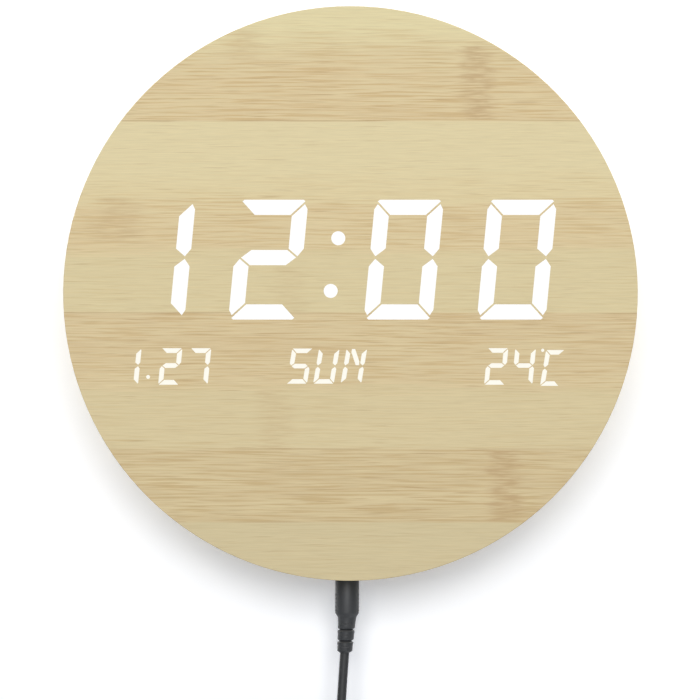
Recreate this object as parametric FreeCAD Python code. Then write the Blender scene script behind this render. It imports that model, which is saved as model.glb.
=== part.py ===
import FreeCAD, Part
import math
import os

# Round wall-hung digital alarm clock, in millimetres.  It is built about the axis of its round face
# (X right, Y from the face towards the wall, Z up) and saved about its wall hanger: the origin is the
# centre of the keyhole's round entry, on the outer face of the rear cover.

V = FreeCAD.Vector

# ---------------------------------------------------------------- driving dimensions
case_radius = 125.0            # outside of the edge veneer
case_depth = 33.0              # front of the face veneer to the outer face of the rear cover
hang_height = 82.0             # hanger entry above the middle of the face
veneer_thickness = 0.6
face_board_thickness = 5.0
case_wall = 12.0               # wooden ring, without its veneer
cover_thickness = 3.0
cover_ledge = 8.0              # step in the ring that carries the rear cover
fit_gap = 0.3                  # between pieces of different moving bodies
seat_gap = 0.2                 # around a piece dropped into its seat

# lit display
display_half_width = 104.0
display_top = 45.0
display_bottom = -43.5
display_edge_gap = 2.4         # from the display's round corners to the ring
diffuser_thickness = 0.4
reflector_depth = 8.0
board_thickness = 1.6
glyph_gap = 0.8                # between neighbouring segments of the time
small_gap = 0.4                # between neighbouring segments of the small row
waist_tip = 0.36               # how far in a side segment's waist tip lies, as a share of the stroke
corner_side = 1.15             # cut corners as shares of the chamfer: down the side segment
corner_tip = 0.42              # the side segment's tip
corner_top = 0.60              # along the top segment
corner_top_tip = 0.27          # the top segment's tip
slant_share = 0.85             # width of the slanted stroke, as a share of the stroke
colon_radius = 3.05

# rear controls
control_gap = 5.4              # from the rear cover to the control board
control_half_width = 42.0
control_top = -12.0
control_bottom = -56.0
button_radius = 3.5
button_travel = 0.5
button_stand = 0.8             # how far a button stands out of the cover
button_row_z = -44.0
button_places = {"set": -26.0, "up": -10.0, "down": 6.0}
switch_x = 27.0
switch_travel = 2.0
switch_knob = 2.0
cover_screw_count = 6
cover_screw_radius = 1.5
board_screw_radius = 1.25
bumper_radius = 5.0
bumper_height = 2.0

# wall hanger
hanger_entry_radius = 4.5
hanger_slot_width = 4.8
hanger_slot_rise = 9.0
hanger_plate_thickness = 1.2

# back-up coin cell
cell_radius = 10.0
cell_thickness = 3.2
cell_x = 66.0
cell_z = -38.0
door_thickness = 2.0
door_radius = 12.5
well_wall = 1.4

# power inlet and its plug
jack_x = -1.5
jack_depth_y = -15.5
jack_body_width = 9.5
jack_body_height = 11.0
jack_body_length = 14.0
jack_nose_radius = 4.0
jack_nose_length = 5.0
jack_pocket = 4.0              # flat pocket cut into the ring for the inlet
barrel_radius = 2.75
barrel_length = 9.5
barrel_bore_radius = 1.09
pin_radius = 1.0
fit_running = 0.05             # barrel in the inlet
plug_radius = 5.25
plug_recess_radius = 6.0
plug_reach = 15.9              # straight part of the plug below the case
plug_taper = 1.6               # from the straight part down to the strain relief
relief_length = 15.1
relief_top_radius = 4.1
relief_end_radius = 3.4
relief_lean_deg = 3.9
relief_rings = 3
relief_root = 1.2              # how far the relief is rooted in the plug's taper

# cord and the plug on its far end
cord_radius = 2.0
coil_radius = 24.0             # middle of the wound bundle
coil_turn_pitch = 4.1          # between turns that lie side by side
coil_columns = 5
coil_layers = 2
tie_width = 10.0
tie_thickness = 0.9
usb_width = 12.0
usb_depth = 4.5
usb_shell_length = 18.7
usb_body_length = 25.0
usb_body_width = 16.0
usb_body_depth = 8.0
usb_relief_length = 10.0

# Places along the depth, front to back.
front_y = -case_depth
board_front_y = front_y + veneer_thickness
diffuser_y = board_front_y + face_board_thickness
reflector_y = diffuser_y + diffuser_thickness
display_y = reflector_y + reflector_depth
display_back_y = display_y + board_thickness
cover_inner_y = -cover_thickness
control_back_y = cover_inner_y - control_gap
control_y = control_back_y - board_thickness
core_radius = case_radius - veneer_thickness
cavity_radius = core_radius - case_wall
cover_radius = cavity_radius + cover_ledge - seat_gap

os.makedirs("parts", exist_ok=True)


# ---------------------------------------------------------------- helpers
def save(name, shape):
    """Writes one piece, moved so that the hanger is at the origin."""
    placed = shape.copy()
    placed.translate(V(0, 0, -hang_height))
    solids = placed.Solids
    result = solids[0] if len(solids) == 1 else Part.Compound(solids)
    result.exportStep("parts/" + name + ".step")


def box(x0, x1, y0, y1, z0, z1):
    return Part.makeBox(x1 - x0, y1 - y0, z1 - z0, V(x0, y0, z0))


def box_at(x, z, width, height, y0, y1):
    return box(x - width / 2, x + width / 2, y0, y1, z - height / 2, z + height / 2)


def disc(radius, y0, y1, x=0.0, z=0.0):
    return Part.makeCylinder(radius, y1 - y0, V(x, y0, z), V(0, 1, 0))


def upright(radius, z0, z1, x, y):
    return Part.makeCylinder(radius, z1 - z0, V(x, y, z0), V(0, 0, 1))


def tube_along(points, radius):
    """A round cord along straight runs joined by tangent arcs as large as the runs allow."""
    edges = []
    start = points[0]
    radii = []
    for before, corner, after in zip(points, points[1:], points[2:]):
        way_in = (corner - before).normalize()
        way_out = (after - corner).normalize()
        half_turn = way_in.getAngle(way_out) / 2
        shorter = min(before.distanceToPoint(corner), corner.distanceToPoint(after))
        setback = 0.45 * shorter
        arc_radius = setback / math.tan(half_turn)
        radii.append(round(arc_radius, 1))
        first = corner - way_in * setback
        last = corner + way_out * setback
        middle_way = (way_out - way_in).normalize()
        middle = corner + middle_way * (arc_radius / math.cos(half_turn) - arc_radius)
        edges.append(Part.LineSegment(start, first).toShape())
        edges.append(Part.Arc(first, middle, last).toShape())
        start = last
    edges.append(Part.LineSegment(start, points[-1]).toShape())
    path = Part.Wire(edges)
    ring = Part.Wire(Part.makeCircle(radius, points[0], points[1] - points[0]))
    tube = path.makePipeShell([ring], True, False)
    expected = math.pi * radius ** 2 * path.Length
    print("tube", round(path.Length, 1), "mm, radii", radii, "volume ratio", round(tube.Volume / expected, 4))
    return tube


def screw(radius, length, head_radius, head_height, x, z, head_y, inward):
    """A pan-head screw along Y whose head seats on head_y; inward is the way its shank points."""
    tip = head_y + inward * length
    crown = head_y - inward * head_height
    shank = disc(radius, min(head_y, tip), max(head_y, tip), x, z)
    head = disc(head_radius, min(head_y, crown), max(head_y, crown), x, z)
    slot_depth = 0.45 * head_height
    floor = crown + inward * slot_depth
    low, high = min(crown, floor), max(crown, floor)
    cross = box_at(x, z, 1.2 * head_radius, 0.24 * head_radius, low, high)
    cross = cross.fuse(box_at(x, z, 0.24 * head_radius, 1.2 * head_radius, low, high))
    return shank.fuse(head).cut(cross).removeSplitter()


# ---------------------------------------------------------------- the characters of the display
class Character:
    """One leaning seven-segment character; x, z is the outer corner at its foot."""

    def __init__(self, x, z, width, height, stroke, lean, chamfer, gap, rise=0.0):
        self.x = x
        self.z = z
        self.width = width
        self.height = height
        self.stroke = stroke
        self.lean = lean
        self.chamfer = chamfer
        self.gap = gap
        self.middle = height / 2 + rise

    def side(self, middle):
        """The cell of the upper left segment, down to a waist at the given height."""
        g = self.gap / 2
        left = -g
        top = self.height + g
        inner = self.stroke + g
        half = self.stroke / 2 + g
        return [(left, top - corner_side * self.chamfer), (left, middle + half),
                (waist_tip * self.stroke, middle), (inner, middle + half), (inner, self.height - inner),
                (left + corner_tip * self.chamfer, top - corner_tip * self.chamfer)]

    def outline(self, name):
        """The cell of one segment, half a gap larger all round, on the upright character."""
        g = self.gap / 2
        left, right = -g, self.width + g
        top = self.height + g
        inner = self.stroke + g
        middle = self.middle
        if name in "be":
            return [(self.width - u, v) for u, v in reversed(self.outline("f" if name == "b" else "c"))]
        if name == "a":
            start = corner_top * self.chamfer
            tip = corner_top_tip * self.chamfer
            return [(left + start, top), (left + tip, top - tip), (inner, self.height - inner),
                    (self.width - inner, self.height - inner), (right - tip, top - tip), (right - start, top)]
        if name == "d":
            return [(u, self.height - v) for u, v in reversed(self.outline("a"))]
        if name == "g":
            half = self.stroke / 2 + g
            tip = waist_tip * self.stroke
            return [(tip, middle), (inner, middle - half), (self.width - inner, middle - half),
                    (self.width - tip, middle), (self.width - inner, middle + half), (inner, middle + half)]
        if name == "f":
            return self.side(middle)
        if name == "c":
            return [(self.width - u, self.height - v) for u, v in self.side(self.height - middle)]
        if name == "n":
            edge = self.stroke + g
            slim = slant_share * self.stroke
            return [(edge, self.height), (edge, self.height - slim), (self.width - edge - slim, middle + g),
                    (self.width - edge, middle + g), (self.width - edge, middle + slim + g),
                    (edge + slim, self.height)]
        raise ValueError(name)

    def place(self, u, v):
        return self.x + u + self.lean * v, self.z + v

    def face(self, name, y):
        points = [V(px, y, pz) for px, pz in (self.place(u, v) for u, v in self.outline(name))]
        cell = Part.Face(Part.makePolygon(points + [points[0]]))
        return cell.makeOffset2D(-self.gap / 2)

    def solids(self, names, y0, y1, grow=0.0):
        made = []
        for name in names:
            face = self.face(name, y0)
            if grow:
                face = face.makeOffset2D(grow, 2)
            made.append(face.extrude(V(0, y1 - y0, 0)))
        return made

    def middle_of(self, name):
        points = [self.place(u, v) for u, v in self.outline(name)]
        return sum(p[0] for p in points) / len(points), sum(p[1] for p in points) / len(points)


time_style = {"width": 29.9, "height": 52.1, "stroke": 6.6, "lean": 0.096, "chamfer": 3.9, "gap": glyph_gap,
              "rise": 0.9}
digit_style = {"width": 9.0, "height": 15.9, "stroke": 2.1, "lean": 0.1, "chamfer": 0.9, "gap": small_gap,
               "rise": 0.4}
letter_style = {"width": 9.0, "height": 15.3, "stroke": 2.0, "lean": 0.17, "chamfer": 0.9, "gap": small_gap}
time_foot = -11.35
row_foot = -39.7
letter_foot = -39.25
time_digits = [(Character(x, time_foot, **time_style), lit)
               for x, lit in ((-102.1, "bc"), (-53.15, "abged"), (5.75, "abcdef"), (54.95, "abcdef"))]
date_digits = [(Character(x, row_foot, **digit_style), lit)
               for x, lit in ((-101.4, "bc"), (-83.65, "abged"), (-71.1, "abc"))]
weekday_letters = [(Character(x, letter_foot, **letter_style), lit)
                   for x, lit in ((-27.9, "afgcd"), (-16.25, "bcdef"), (-4.3, "bcefn"))]
temperature_digits = [(Character(x, row_foot, **dict(digit_style, stroke=2.0)), lit)
                      for x, lit in ((58.1, "abged"), (70.1, "fgbc"))]
temperature_unit = [(Character(82.4, row_foot - 0.5, **dict(letter_style, width=8.2, height=15.6)), "afed")]
colon_dots = [(-5.3, 24.0, colon_radius), (-8.6, 1.1, colon_radius)]
date_dots = [(-88.0, -36.3, 0.85)]
degree_dots = [(83.6, -24.7, 0.7)]
plain_segments = "abcdefg"
letter_segments = "abcdefgn"


def lit_solids(characters, dots, y0, y1):
    made = []
    for character, lit in characters:
        made += character.solids(lit, y0, y1)
    for x, z, radius in dots:
        made.append(disc(radius, y0, y1, x, z))
    return made


def all_windows(y0, y1, grow):
    """Every segment and dot that can light, as cutting solids."""
    made = []
    for character, _ in time_digits + date_digits + temperature_digits + temperature_unit:
        made += character.solids(plain_segments, y0, y1, grow)
    for character, _ in weekday_letters:
        made += character.solids(letter_segments if character is weekday_letters[-1][0] else plain_segments,
                                 y0, y1, grow)
    for x, z, radius in colon_dots + date_dots + degree_dots:
        made.append(disc(radius + grow, y0, y1, x, z))
    return made


# ---------------------------------------------------------------- face and case
def build_face():
    lit_groups = {
        "lit_time_digits": lit_solids(time_digits, [], front_y, board_front_y),
        "lit_colon": lit_solids([], colon_dots, front_y, board_front_y),
        "lit_date": lit_solids(date_digits, date_dots, front_y, board_front_y),
        "lit_weekday": lit_solids(weekday_letters, [], front_y, board_front_y),
        "lit_temperature": lit_solids(temperature_digits + temperature_unit, degree_dots, front_y, board_front_y),
    }
    veneer = disc(case_radius, front_y, board_front_y)
    rim = [edge for edge in veneer.Edges if edge.Closed and abs(edge.CenterOfMass.y - front_y) < 0.01]
    veneer = veneer.makeFillet(0.6 * veneer_thickness, rim)
    for name, solids in lit_groups.items():
        veneer = veneer.cut(Part.Compound(solids))
        save(name, Part.Compound(solids))
    save("face_veneer", veneer)
    board = disc(core_radius, board_front_y, diffuser_y)
    board = board.cut(Part.Compound(all_windows(board_front_y, diffuser_y, 0.0)))
    for x, z in display_screw_places():
        board = board.cut(disc(board_screw_radius, diffuser_y - face_screw_bite, diffuser_y, x, z))
    save("face_board", board)


def build_case():
    ring = disc(core_radius, diffuser_y, 0).cut(disc(cavity_radius, diffuser_y, cover_inner_y))
    ring = ring.cut(disc(cover_radius + seat_gap, cover_inner_y, 0))
    edge = disc(case_radius, board_front_y, 0).cut(disc(core_radius, board_front_y, 0))
    for x, z in cover_screw_places():
        ring = ring.cut(disc(cover_screw_radius, cover_inner_y - cover_screw_bite, cover_inner_y, x, z))
    pocket_z = jack_seat_z()
    half = jack_body_width / 2 + 1.0
    tall = jack_body_height / 2 + 1.0
    ring = ring.cut(box(jack_x - half, jack_x + half, jack_depth_y - tall, jack_depth_y + tall,
                        pocket_z, pocket_z + 3 * jack_pocket))
    ring = ring.cut(upright(jack_nose_radius, -case_radius, pocket_z, jack_x, jack_depth_y))
    recess = upright(plug_recess_radius, -case_radius - 1, jack_nose_end(), jack_x, jack_depth_y)
    save("case_ring", ring.cut(recess))
    save("edge_veneer", edge.cut(recess))


def cover_screw_places():
    reach = cover_radius - cover_ledge / 2
    turns = [2 * math.pi * i / cover_screw_count for i in range(cover_screw_count)]
    return [(reach * math.cos(t), reach * math.sin(t)) for t in turns]


cover_screw_bite = 9.0
cover_screw_sink = 1.6


# ---------------------------------------------------------------- display
face_screw_bite = 3.5


def display_screw_places():
    return [(-94, 8), (94, 8), (-38, display_bottom + 3.2), (42, display_bottom + 3.2)]


def display_outline(y0, y1):
    plate = box(-display_half_width, display_half_width, y0, y1, display_bottom, display_top)
    return plate.common(disc(cavity_radius - display_edge_gap, y0, y1))


def led_block(x, z, width, height, thickness):
    return box_at(x, z, width, height, display_y - thickness, display_y)


def build_display():
    holes = [disc(board_screw_radius, diffuser_y, display_back_y, x, z) for x, z in display_screw_places()]
    holes = Part.Compound(holes)
    save("diffuser_sheet", display_outline(diffuser_y, reflector_y).cut(holes))
    block = display_outline(reflector_y, display_y)
    save("reflector_block", block.cut(Part.Compound(all_windows(reflector_y, display_y, 0.0))).cut(holes))
    pins = header_pins()
    save("display_board", display_outline(display_y, display_back_y).cut(holes).cut(Part.Compound(pins)))
    length = face_screw_bite + display_back_y - diffuser_y
    save("display_screws", Part.Compound([screw(board_screw_radius, length, 2.3, 1.4, x, z, display_back_y, -1)
                                          for x, z in display_screw_places()]))
    time_leds = []
    for character, _ in time_digits:
        for name in plain_segments:
            x, z = character.middle_of(name)
            across = name in "adg"
            shift = 5.0
            for side in (-1, 1):
                dx = side * shift if across else side * shift * character.lean
                dz = 0.0 if across else side * shift
                time_leds.append(led_block(x + dx, z + dz, 3.5, 2.8, 1.9))
    for x, z, _ in colon_dots:
        time_leds.append(led_block(x, z, 3.5, 2.8, 1.9))
    save("time_leds", Part.Compound(time_leds))
    row_leds = []
    for character, _ in date_digits + temperature_digits + temperature_unit + weekday_letters:
        for name in plain_segments:
            x, z = character.middle_of(name)
            row_leds.append(led_block(x, z, 1.1, 1.1, 0.5))
    x, z = weekday_letters[-1][0].middle_of("n")
    row_leds.append(led_block(x, z, 0.8, 0.8, 0.5))
    for x, z, radius in date_dots + degree_dots:
        row_leds.append(led_block(x, z, radius, radius, 0.5))
    save("row_leds", Part.Compound(row_leds))
    chips = [box_at(x, 14, 10, 7.5, display_back_y, display_back_y + 1.8) for x in (-40, 40)]
    save("driver_chips", Part.Compound(chips))


# ---------------------------------------------------------------- control board
header_places = [(-8.89 + 2.54 * i, z) for i in range(8) for z in (-32.0, -34.54)]


def header_pins():
    return [box_at(x, z, 0.64, 0.64, display_y + 0.5, control_back_y + 1.0) for x, z in header_places]


def control_screw_places():
    inset = 4.0
    right = control_half_width - inset
    return [(side * right, z) for side in (-1, 1) for z in (control_top - inset, control_bottom + inset)]


def build_controls():
    pins = Part.Compound(header_pins())
    board = box(-control_half_width, control_half_width, control_y, control_back_y, control_bottom, control_top)
    for x, z in control_screw_places():
        board = board.cut(disc(board_screw_radius, control_y, control_back_y, x, z))
    save("control_board", board.cut(pins))
    save("header_pins", pins)
    strip = box(-10.2, 10.2, display_back_y, control_y, -35.8, -30.7)
    save("header_strip", strip.cut(pins))
    save("control_screws", Part.Compound([screw(board_screw_radius, board_thickness + 4.0, 2.3, 1.4, x, z,
                                                control_y, 1) for x, z in control_screw_places()]))
    back = control_back_y
    save("processor_chip", box_at(0, -21.5, 10, 10, back, back + 1.5))
    save("clock_crystal", box_at(12, -21.5, 3.2, 8.0, back, back + 2.5))
    save("voltage_regulator", box_at(-13, -34, 6.5, 3.5, back, back + 1.7))
    save("capacitors", Part.Compound([disc(2.5, back, back + 4.6, x, -34) for x in (20, 30)]))
    buzzer = disc(6.0, back, back + 4.8, -25, -27).cut(disc(1.2, back + 4.0, back + 4.8, -25, -27))
    save("alarm_buzzer", buzzer)
    save("microphone", disc(3.0, back, back + 2.7, 22, -21.5))
    bead = Part.makeSphere(1.2, V(35, back + 3.0, -30)).fuse(disc(0.25, back, back + 3.0, 34.4, -30))
    save("temperature_sensor", bead.fuse(disc(0.25, back, back + 3.0, 35.6, -30)))


switch_body_height = 3.5       # push switches, off the board
stem_radius = 1.5
stem_depth = 1.5
cap_flange_radius = 5.0
cap_flange = 0.8


def build_buttons():
    body_top = control_back_y + switch_body_height
    flange_out = cover_inner_y - fit_gap
    flange_in = flange_out - cap_flange
    bodies = []
    for name, x in button_places.items():
        cap = disc(button_radius, flange_in, button_stand, x, button_row_z)
        crown = [e for e in cap.Edges if e.Closed and abs(e.CenterOfMass.y - button_stand) < 0.01]
        cap = cap.makeFillet(0.15 * button_radius, crown)
        cap = cap.fuse(disc(cap_flange_radius, flange_in, flange_out, x, button_row_z)).removeSplitter()
        save("button_" + name, cap)
        save("switch_stem_" + name, disc(stem_radius, body_top - stem_depth + button_travel, flange_in,
                                         x, button_row_z))
        body = box_at(x, button_row_z, 6.0, 6.0, control_back_y, body_top)
        body = body.cut(disc(stem_radius + fit_running, body_top - stem_depth - 0.2, body_top, x, button_row_z))
        bodies.append(body)
    save("push_switches", Part.Compound(bodies))


slide_body_height = 3.6
slide_knob_reach = 0.5         # below the outer face of the cover


def build_slide_switch():
    top = control_back_y + slide_body_height
    body = box_at(switch_x, button_row_z, 8.6, 4.4, control_back_y, top)
    way = box_at(switch_x, button_row_z, switch_travel + switch_knob + 2 * fit_gap, switch_knob + 2 * fit_gap,
                 top - 1.6, top)
    save("sound_switch_body", body.cut(way))
    knob_x = switch_x - switch_travel / 2
    knob = box_at(knob_x, button_row_z, switch_knob, switch_knob, top - 1.3, -slide_knob_reach)
    save("sound_switch_knob", knob)


# ---------------------------------------------------------------- rear cover
def keyhole(entry_radius, y0, y1):
    slot = box(-hanger_slot_width / 2, hanger_slot_width / 2, y0, y1, hang_height, hang_height + hanger_slot_rise)
    end = disc(hanger_slot_width / 2, y0, y1, 0, hang_height + hanger_slot_rise)
    return disc(entry_radius, y0, y1, 0, hang_height).fuse([slot, end])


def hanger_screw_places():
    return [(side * 13.0, hang_height + 3.0) for side in (-1, 1)]


bumper_places = [(math.cos(math.radians(a)) * 96, math.sin(math.radians(a)) * 96) for a in (60, 120, 240, 300)]
vent_count = 5
vent_pitch = 4.0
vent_length = 16.0
vent_width = 1.8
door_lip = 1.2                 # ring of cover that the door seats on
lug_height = 1.0
lug_reach = 0.9                # how far a lug reaches past the door's neck


def vent_slot(x, z, y0, y1):
    middle = box_at(x, z, vent_length - vent_width, vent_width, y0, y1)
    ends = [disc(vent_width / 2, y0, y1, x + side * (vent_length - vent_width) / 2, z) for side in (-1, 1)]
    return middle.fuse(ends)


def build_cover():
    inner, outer = cover_inner_y, 0.0
    cover = disc(cover_radius, inner, outer)
    rim = [e for e in cover.Edges if e.Closed and abs(e.CenterOfMass.y - outer) < 0.01]
    cover = cover.makeChamfer(0.4, rim)
    cuts = [keyhole(hanger_entry_radius, inner, outer)]
    for x, z in cover_screw_places():
        cuts.append(disc(cover_screw_radius, inner, outer, x, z))
        cuts.append(disc(3.2, -cover_screw_sink, outer, x, z))
    for x in button_places.values():
        cuts.append(disc(button_radius + fit_gap, inner, outer, x, button_row_z))
    slot_width = switch_travel + switch_knob + 2 * fit_gap + 1.0
    cuts.append(box_at(switch_x, button_row_z, slot_width, switch_knob + 2 * fit_gap + 1.0, inner, outer))
    for i in range(vent_count):
        cuts.append(vent_slot(-25, -19 - vent_pitch * i, inner, outer))
    cuts.append(disc(1.0, inner, outer, 22, -21.5))
    bosses = []
    for x, z in control_screw_places():
        bosses.append(disc(3.0, control_back_y, inner, x, z))
        cuts.append(disc(board_screw_radius, control_back_y, inner - 1.4, x, z))
    for x, z in hanger_screw_places():
        bosses.append(disc(3.0, inner - 3.0, inner, x, z))
        cuts.append(disc(board_screw_radius, inner - 3.0, inner + 0.4, x, z))
    well_radius = cell_radius + 0.4
    bosses.append(disc(well_radius + well_wall, well_floor_y() - well_wall, inner, cell_x, cell_z))
    cover = cover.fuse(bosses)
    cuts.append(disc(door_radius + fit_gap, -door_thickness - fit_gap, outer, cell_x, cell_z))
    cuts.append(disc(well_radius, well_floor_y(), -door_thickness, cell_x, cell_z))
    groove = lug_ring(fit_gap, 0)
    cuts.append(groove)
    cover = cover.cut(Part.Compound(cuts)).removeSplitter()
    save("rear_cover", cover)
    heads = [screw(cover_screw_radius, cover_screw_bite + cover_thickness - cover_screw_sink, 2.8, 1.3, x, z,
                   -cover_screw_sink, -1) for x, z in cover_screw_places()]
    save("cover_screws", Part.Compound(heads))
    pads = []
    for x, z in bumper_places:
        pad = disc(bumper_radius, outer, bumper_height, x, z)
        crown = [e for e in pad.Edges if e.Closed and abs(e.CenterOfMass.y - bumper_height) < 0.01]
        pads.append(pad.makeFillet(0.3 * bumper_height, crown))
    save("wall_bumpers", Part.Compound(pads))


def build_hanger():
    back = cover_inner_y - 3.0
    front = back - hanger_plate_thickness
    plate = box_at(0, hang_height + 4.0, 34.0, 24.0, front, back)
    corners = [e for e in plate.Edges if abs(e.tangentAt(e.FirstParameter).y) > 0.99]
    plate = plate.makeFillet(3.0, corners).cut(keyhole(hanger_entry_radius + 0.8, front, back))
    for x, z in hanger_screw_places():
        plate = plate.cut(disc(board_screw_radius, front, back, x, z))
    save("hanger_plate", plate)
    save("hanger_screws", Part.Compound([screw(board_screw_radius, hanger_plate_thickness + 3.2, 2.3, 1.4, x, z,
                                               front, 1) for x, z in hanger_screw_places()]))


# ---------------------------------------------------------------- coin cell and its twist door
def cell_outer_y():
    return -door_thickness - 2 * fit_gap - lug_height - door_lip


def well_floor_y():
    return cell_outer_y() - cell_thickness - 0.8


def lug_ring(gap, keep):
    """The way the door's lugs turn in, under the cover's lip; keep leaves only the lugs themselves."""
    top = -door_thickness - door_lip - fit_gap + gap
    low = top - lug_height - 2 * gap
    reach = cell_radius - 0.2 + lug_reach + gap
    ring = disc(reach, low, top, cell_x, cell_z)
    if not keep:
        return ring
    ring = ring.cut(disc(cell_radius - 1.6, low, top, cell_x, cell_z))
    lugs = []
    for angle in (0, 120, 240):
        wedge = box(0, 2 * reach, low, top, -3.0, 3.0)
        wedge.rotate(V(0, 0, 0), V(0, 1, 0), angle)
        wedge.translate(V(cell_x, 0, cell_z))
        lugs.append(ring.common(wedge))
    return lugs[0].fuse(lugs[1:])


def build_battery():
    door = disc(door_radius, -door_thickness, 0, cell_x, cell_z)
    crown = [e for e in door.Edges if e.Closed and abs(e.CenterOfMass.y) < 0.01]
    door = door.makeChamfer(0.4, crown)
    neck_radius = cell_radius - 0.2
    neck_low = -door_thickness - door_lip - fit_gap - lug_height
    neck = disc(neck_radius, neck_low, -door_thickness, cell_x, cell_z)
    neck = neck.cut(disc(cell_radius - 1.6, neck_low, -door_thickness, cell_x, cell_z))
    slot = box_at(cell_x, cell_z, 14.0, 2.0, -1.1, 0)
    save("battery_door", door.fuse([neck, lug_ring(0.0, 1)]).cut(slot).removeSplitter())
    outer = cell_outer_y()
    cell = disc(cell_radius, outer - cell_thickness, outer - 0.6, cell_x, cell_z)
    cell = cell.fuse(disc(cell_radius - 0.4, outer - 0.6, outer, cell_x, cell_z)).removeSplitter()
    save("coin_cell", cell)
    floor = well_floor_y()
    save("cell_contact", box_at(cell_x, cell_z, 14.0, 5.0, floor, floor + 0.8))
    wires = []
    for dz in (-3.0, 3.0):
        start_x = cell_x - math.sqrt((cell_radius + 0.4 + well_wall) ** 2 - dz ** 2)
        y = floor + 0.8
        route = [V(start_x, y, cell_z + dz), V(start_x - 4.0, y, cell_z + dz),
                 V(control_half_width + 1.0, control_back_y + 1.6, cell_z + 1.2 * dz),
                 V(control_half_width - 3.5, control_back_y + 0.6, cell_z + 1.2 * dz)]
        wires.append(tube_along(route, 0.6))
    save("battery_leads", Part.Compound(wires))


# ---------------------------------------------------------------- power inlet, plug and cord
def jack_seat_z():
    return -(cavity_radius + jack_pocket)


def jack_nose_end():
    return jack_seat_z() - jack_nose_length


def build_inlet():
    seat = jack_seat_z()
    body = box(jack_x - jack_body_width / 2, jack_x + jack_body_width / 2, jack_depth_y - jack_body_height / 2,
               jack_depth_y + jack_body_height / 2, seat, seat + jack_body_length)
    body = body.fuse(upright(jack_nose_radius, jack_nose_end(), seat, jack_x, jack_depth_y))
    bore_top = jack_nose_end() + barrel_length + 0.8
    body = body.cut(upright(barrel_radius + fit_running, jack_nose_end(), bore_top, jack_x, jack_depth_y))
    pin_top = seat + jack_body_length
    pin = upright(pin_radius, jack_nose_end() + 1.0, pin_top, jack_x, jack_depth_y)
    save("inlet_body", body.cut(pin).removeSplitter())
    save("inlet_pin", pin)
    leads = []
    for dx in (-2.6, 2.6):
        x = jack_x + dx
        route = [V(x, jack_depth_y, pin_top), V(x + 0.4, jack_depth_y, pin_top + 16),
                 V(x, control_y - 3.0, control_bottom - 9), V(x, control_y - 2.2, control_bottom + 3.0),
                 V(x, control_y, control_bottom + 7.0)]
        leads.append(tube_along(route, 0.7))
    save("inlet_leads", Part.Compound(leads))


def plug_top():
    return jack_nose_end() - fit_gap


def relief_top():
    return -case_radius - plug_reach - plug_taper


def relief_end():
    """The point where the cord leaves the plug's strain relief."""
    lean = math.radians(relief_lean_deg)
    return V(jack_x - relief_length * math.sin(lean), jack_depth_y, relief_top() - relief_length * math.cos(lean))


def build_plug():
    top = plug_top()
    shoulder = -case_radius - plug_reach
    sleeve = upright(barrel_radius, top, top + barrel_length, jack_x, jack_depth_y)
    sleeve = sleeve.cut(upright(barrel_bore_radius, top, top + barrel_length, jack_x, jack_depth_y))
    save("plug_barrel", sleeve)
    body = upright(plug_radius, shoulder, top, jack_x, jack_depth_y)
    upper = [e for e in body.Edges if e.Closed and abs(e.CenterOfMass.z - top) < 0.01]
    body = body.makeFillet(0.6, upper)
    taper = Part.makeCone(relief_top_radius, plug_radius, shoulder - relief_top(),
                          V(jack_x, jack_depth_y, relief_top()), V(0, 0, 1))
    save("plug_body", body.fuse(taper).fuse(strain_relief()).removeSplitter())


def strain_relief():
    """A slim cone with rings, leaning from the plug; its first ring is rooted in the taper."""
    narrow = relief_end_radius - 0.7
    pitch = relief_length / relief_rings
    outline = [(0.0, -relief_root), (relief_top_radius - 0.1, -relief_root)]
    for i in range(relief_rings):
        share = (i + 1) / relief_rings
        radius = relief_top_radius + (relief_end_radius - relief_top_radius) * share
        crest = (i + 0.62) * pitch
        outline += [(radius, crest), (narrow, crest + 0.3)]
        if i < relief_rings - 1:
            outline += [(narrow, (i + 1) * pitch - 0.3), (radius, (i + 1) * pitch)]
    outline += [(narrow, relief_length), (0.0, relief_length)]
    points = [V(radius, 0, -depth) for radius, depth in outline]
    profile = Part.Face(Part.makePolygon(points + [points[0]]))
    relief = profile.revolve(V(0, 0, 0), V(0, 0, 1), 360)
    lean = FreeCAD.Rotation(V(0, 1, 0), relief_lean_deg)
    relief.Placement = FreeCAD.Placement(V(jack_x, jack_depth_y, relief_top()), lean)
    return relief


# The cord, as steps from the end of the strain relief: a gentle lean, then the wound bundle beside it.
cord_steps = [(0.0, 0.0, 0.0), (-1.3, -1.2, -18.0), (-2.2, -3.4, -37.0), (-2.4, -6.2, -56.0)]
tail_steps = [(-2.4, 10.2, -56.0), (-2.8, 9.2, -72.0), (-2.2, 7.0, -88.0)]


def rounded_bar(x0, x1, y0, y1, z0, z1, radius):
    """A bar along Z with its long edges rounded."""
    bar = box(x0, x1, y0, y1, z0, z1)
    return bar.makeFillet(radius, [e for e in bar.Edges if abs(e.tangentAt(e.FirstParameter).z) > 0.99])


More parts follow.
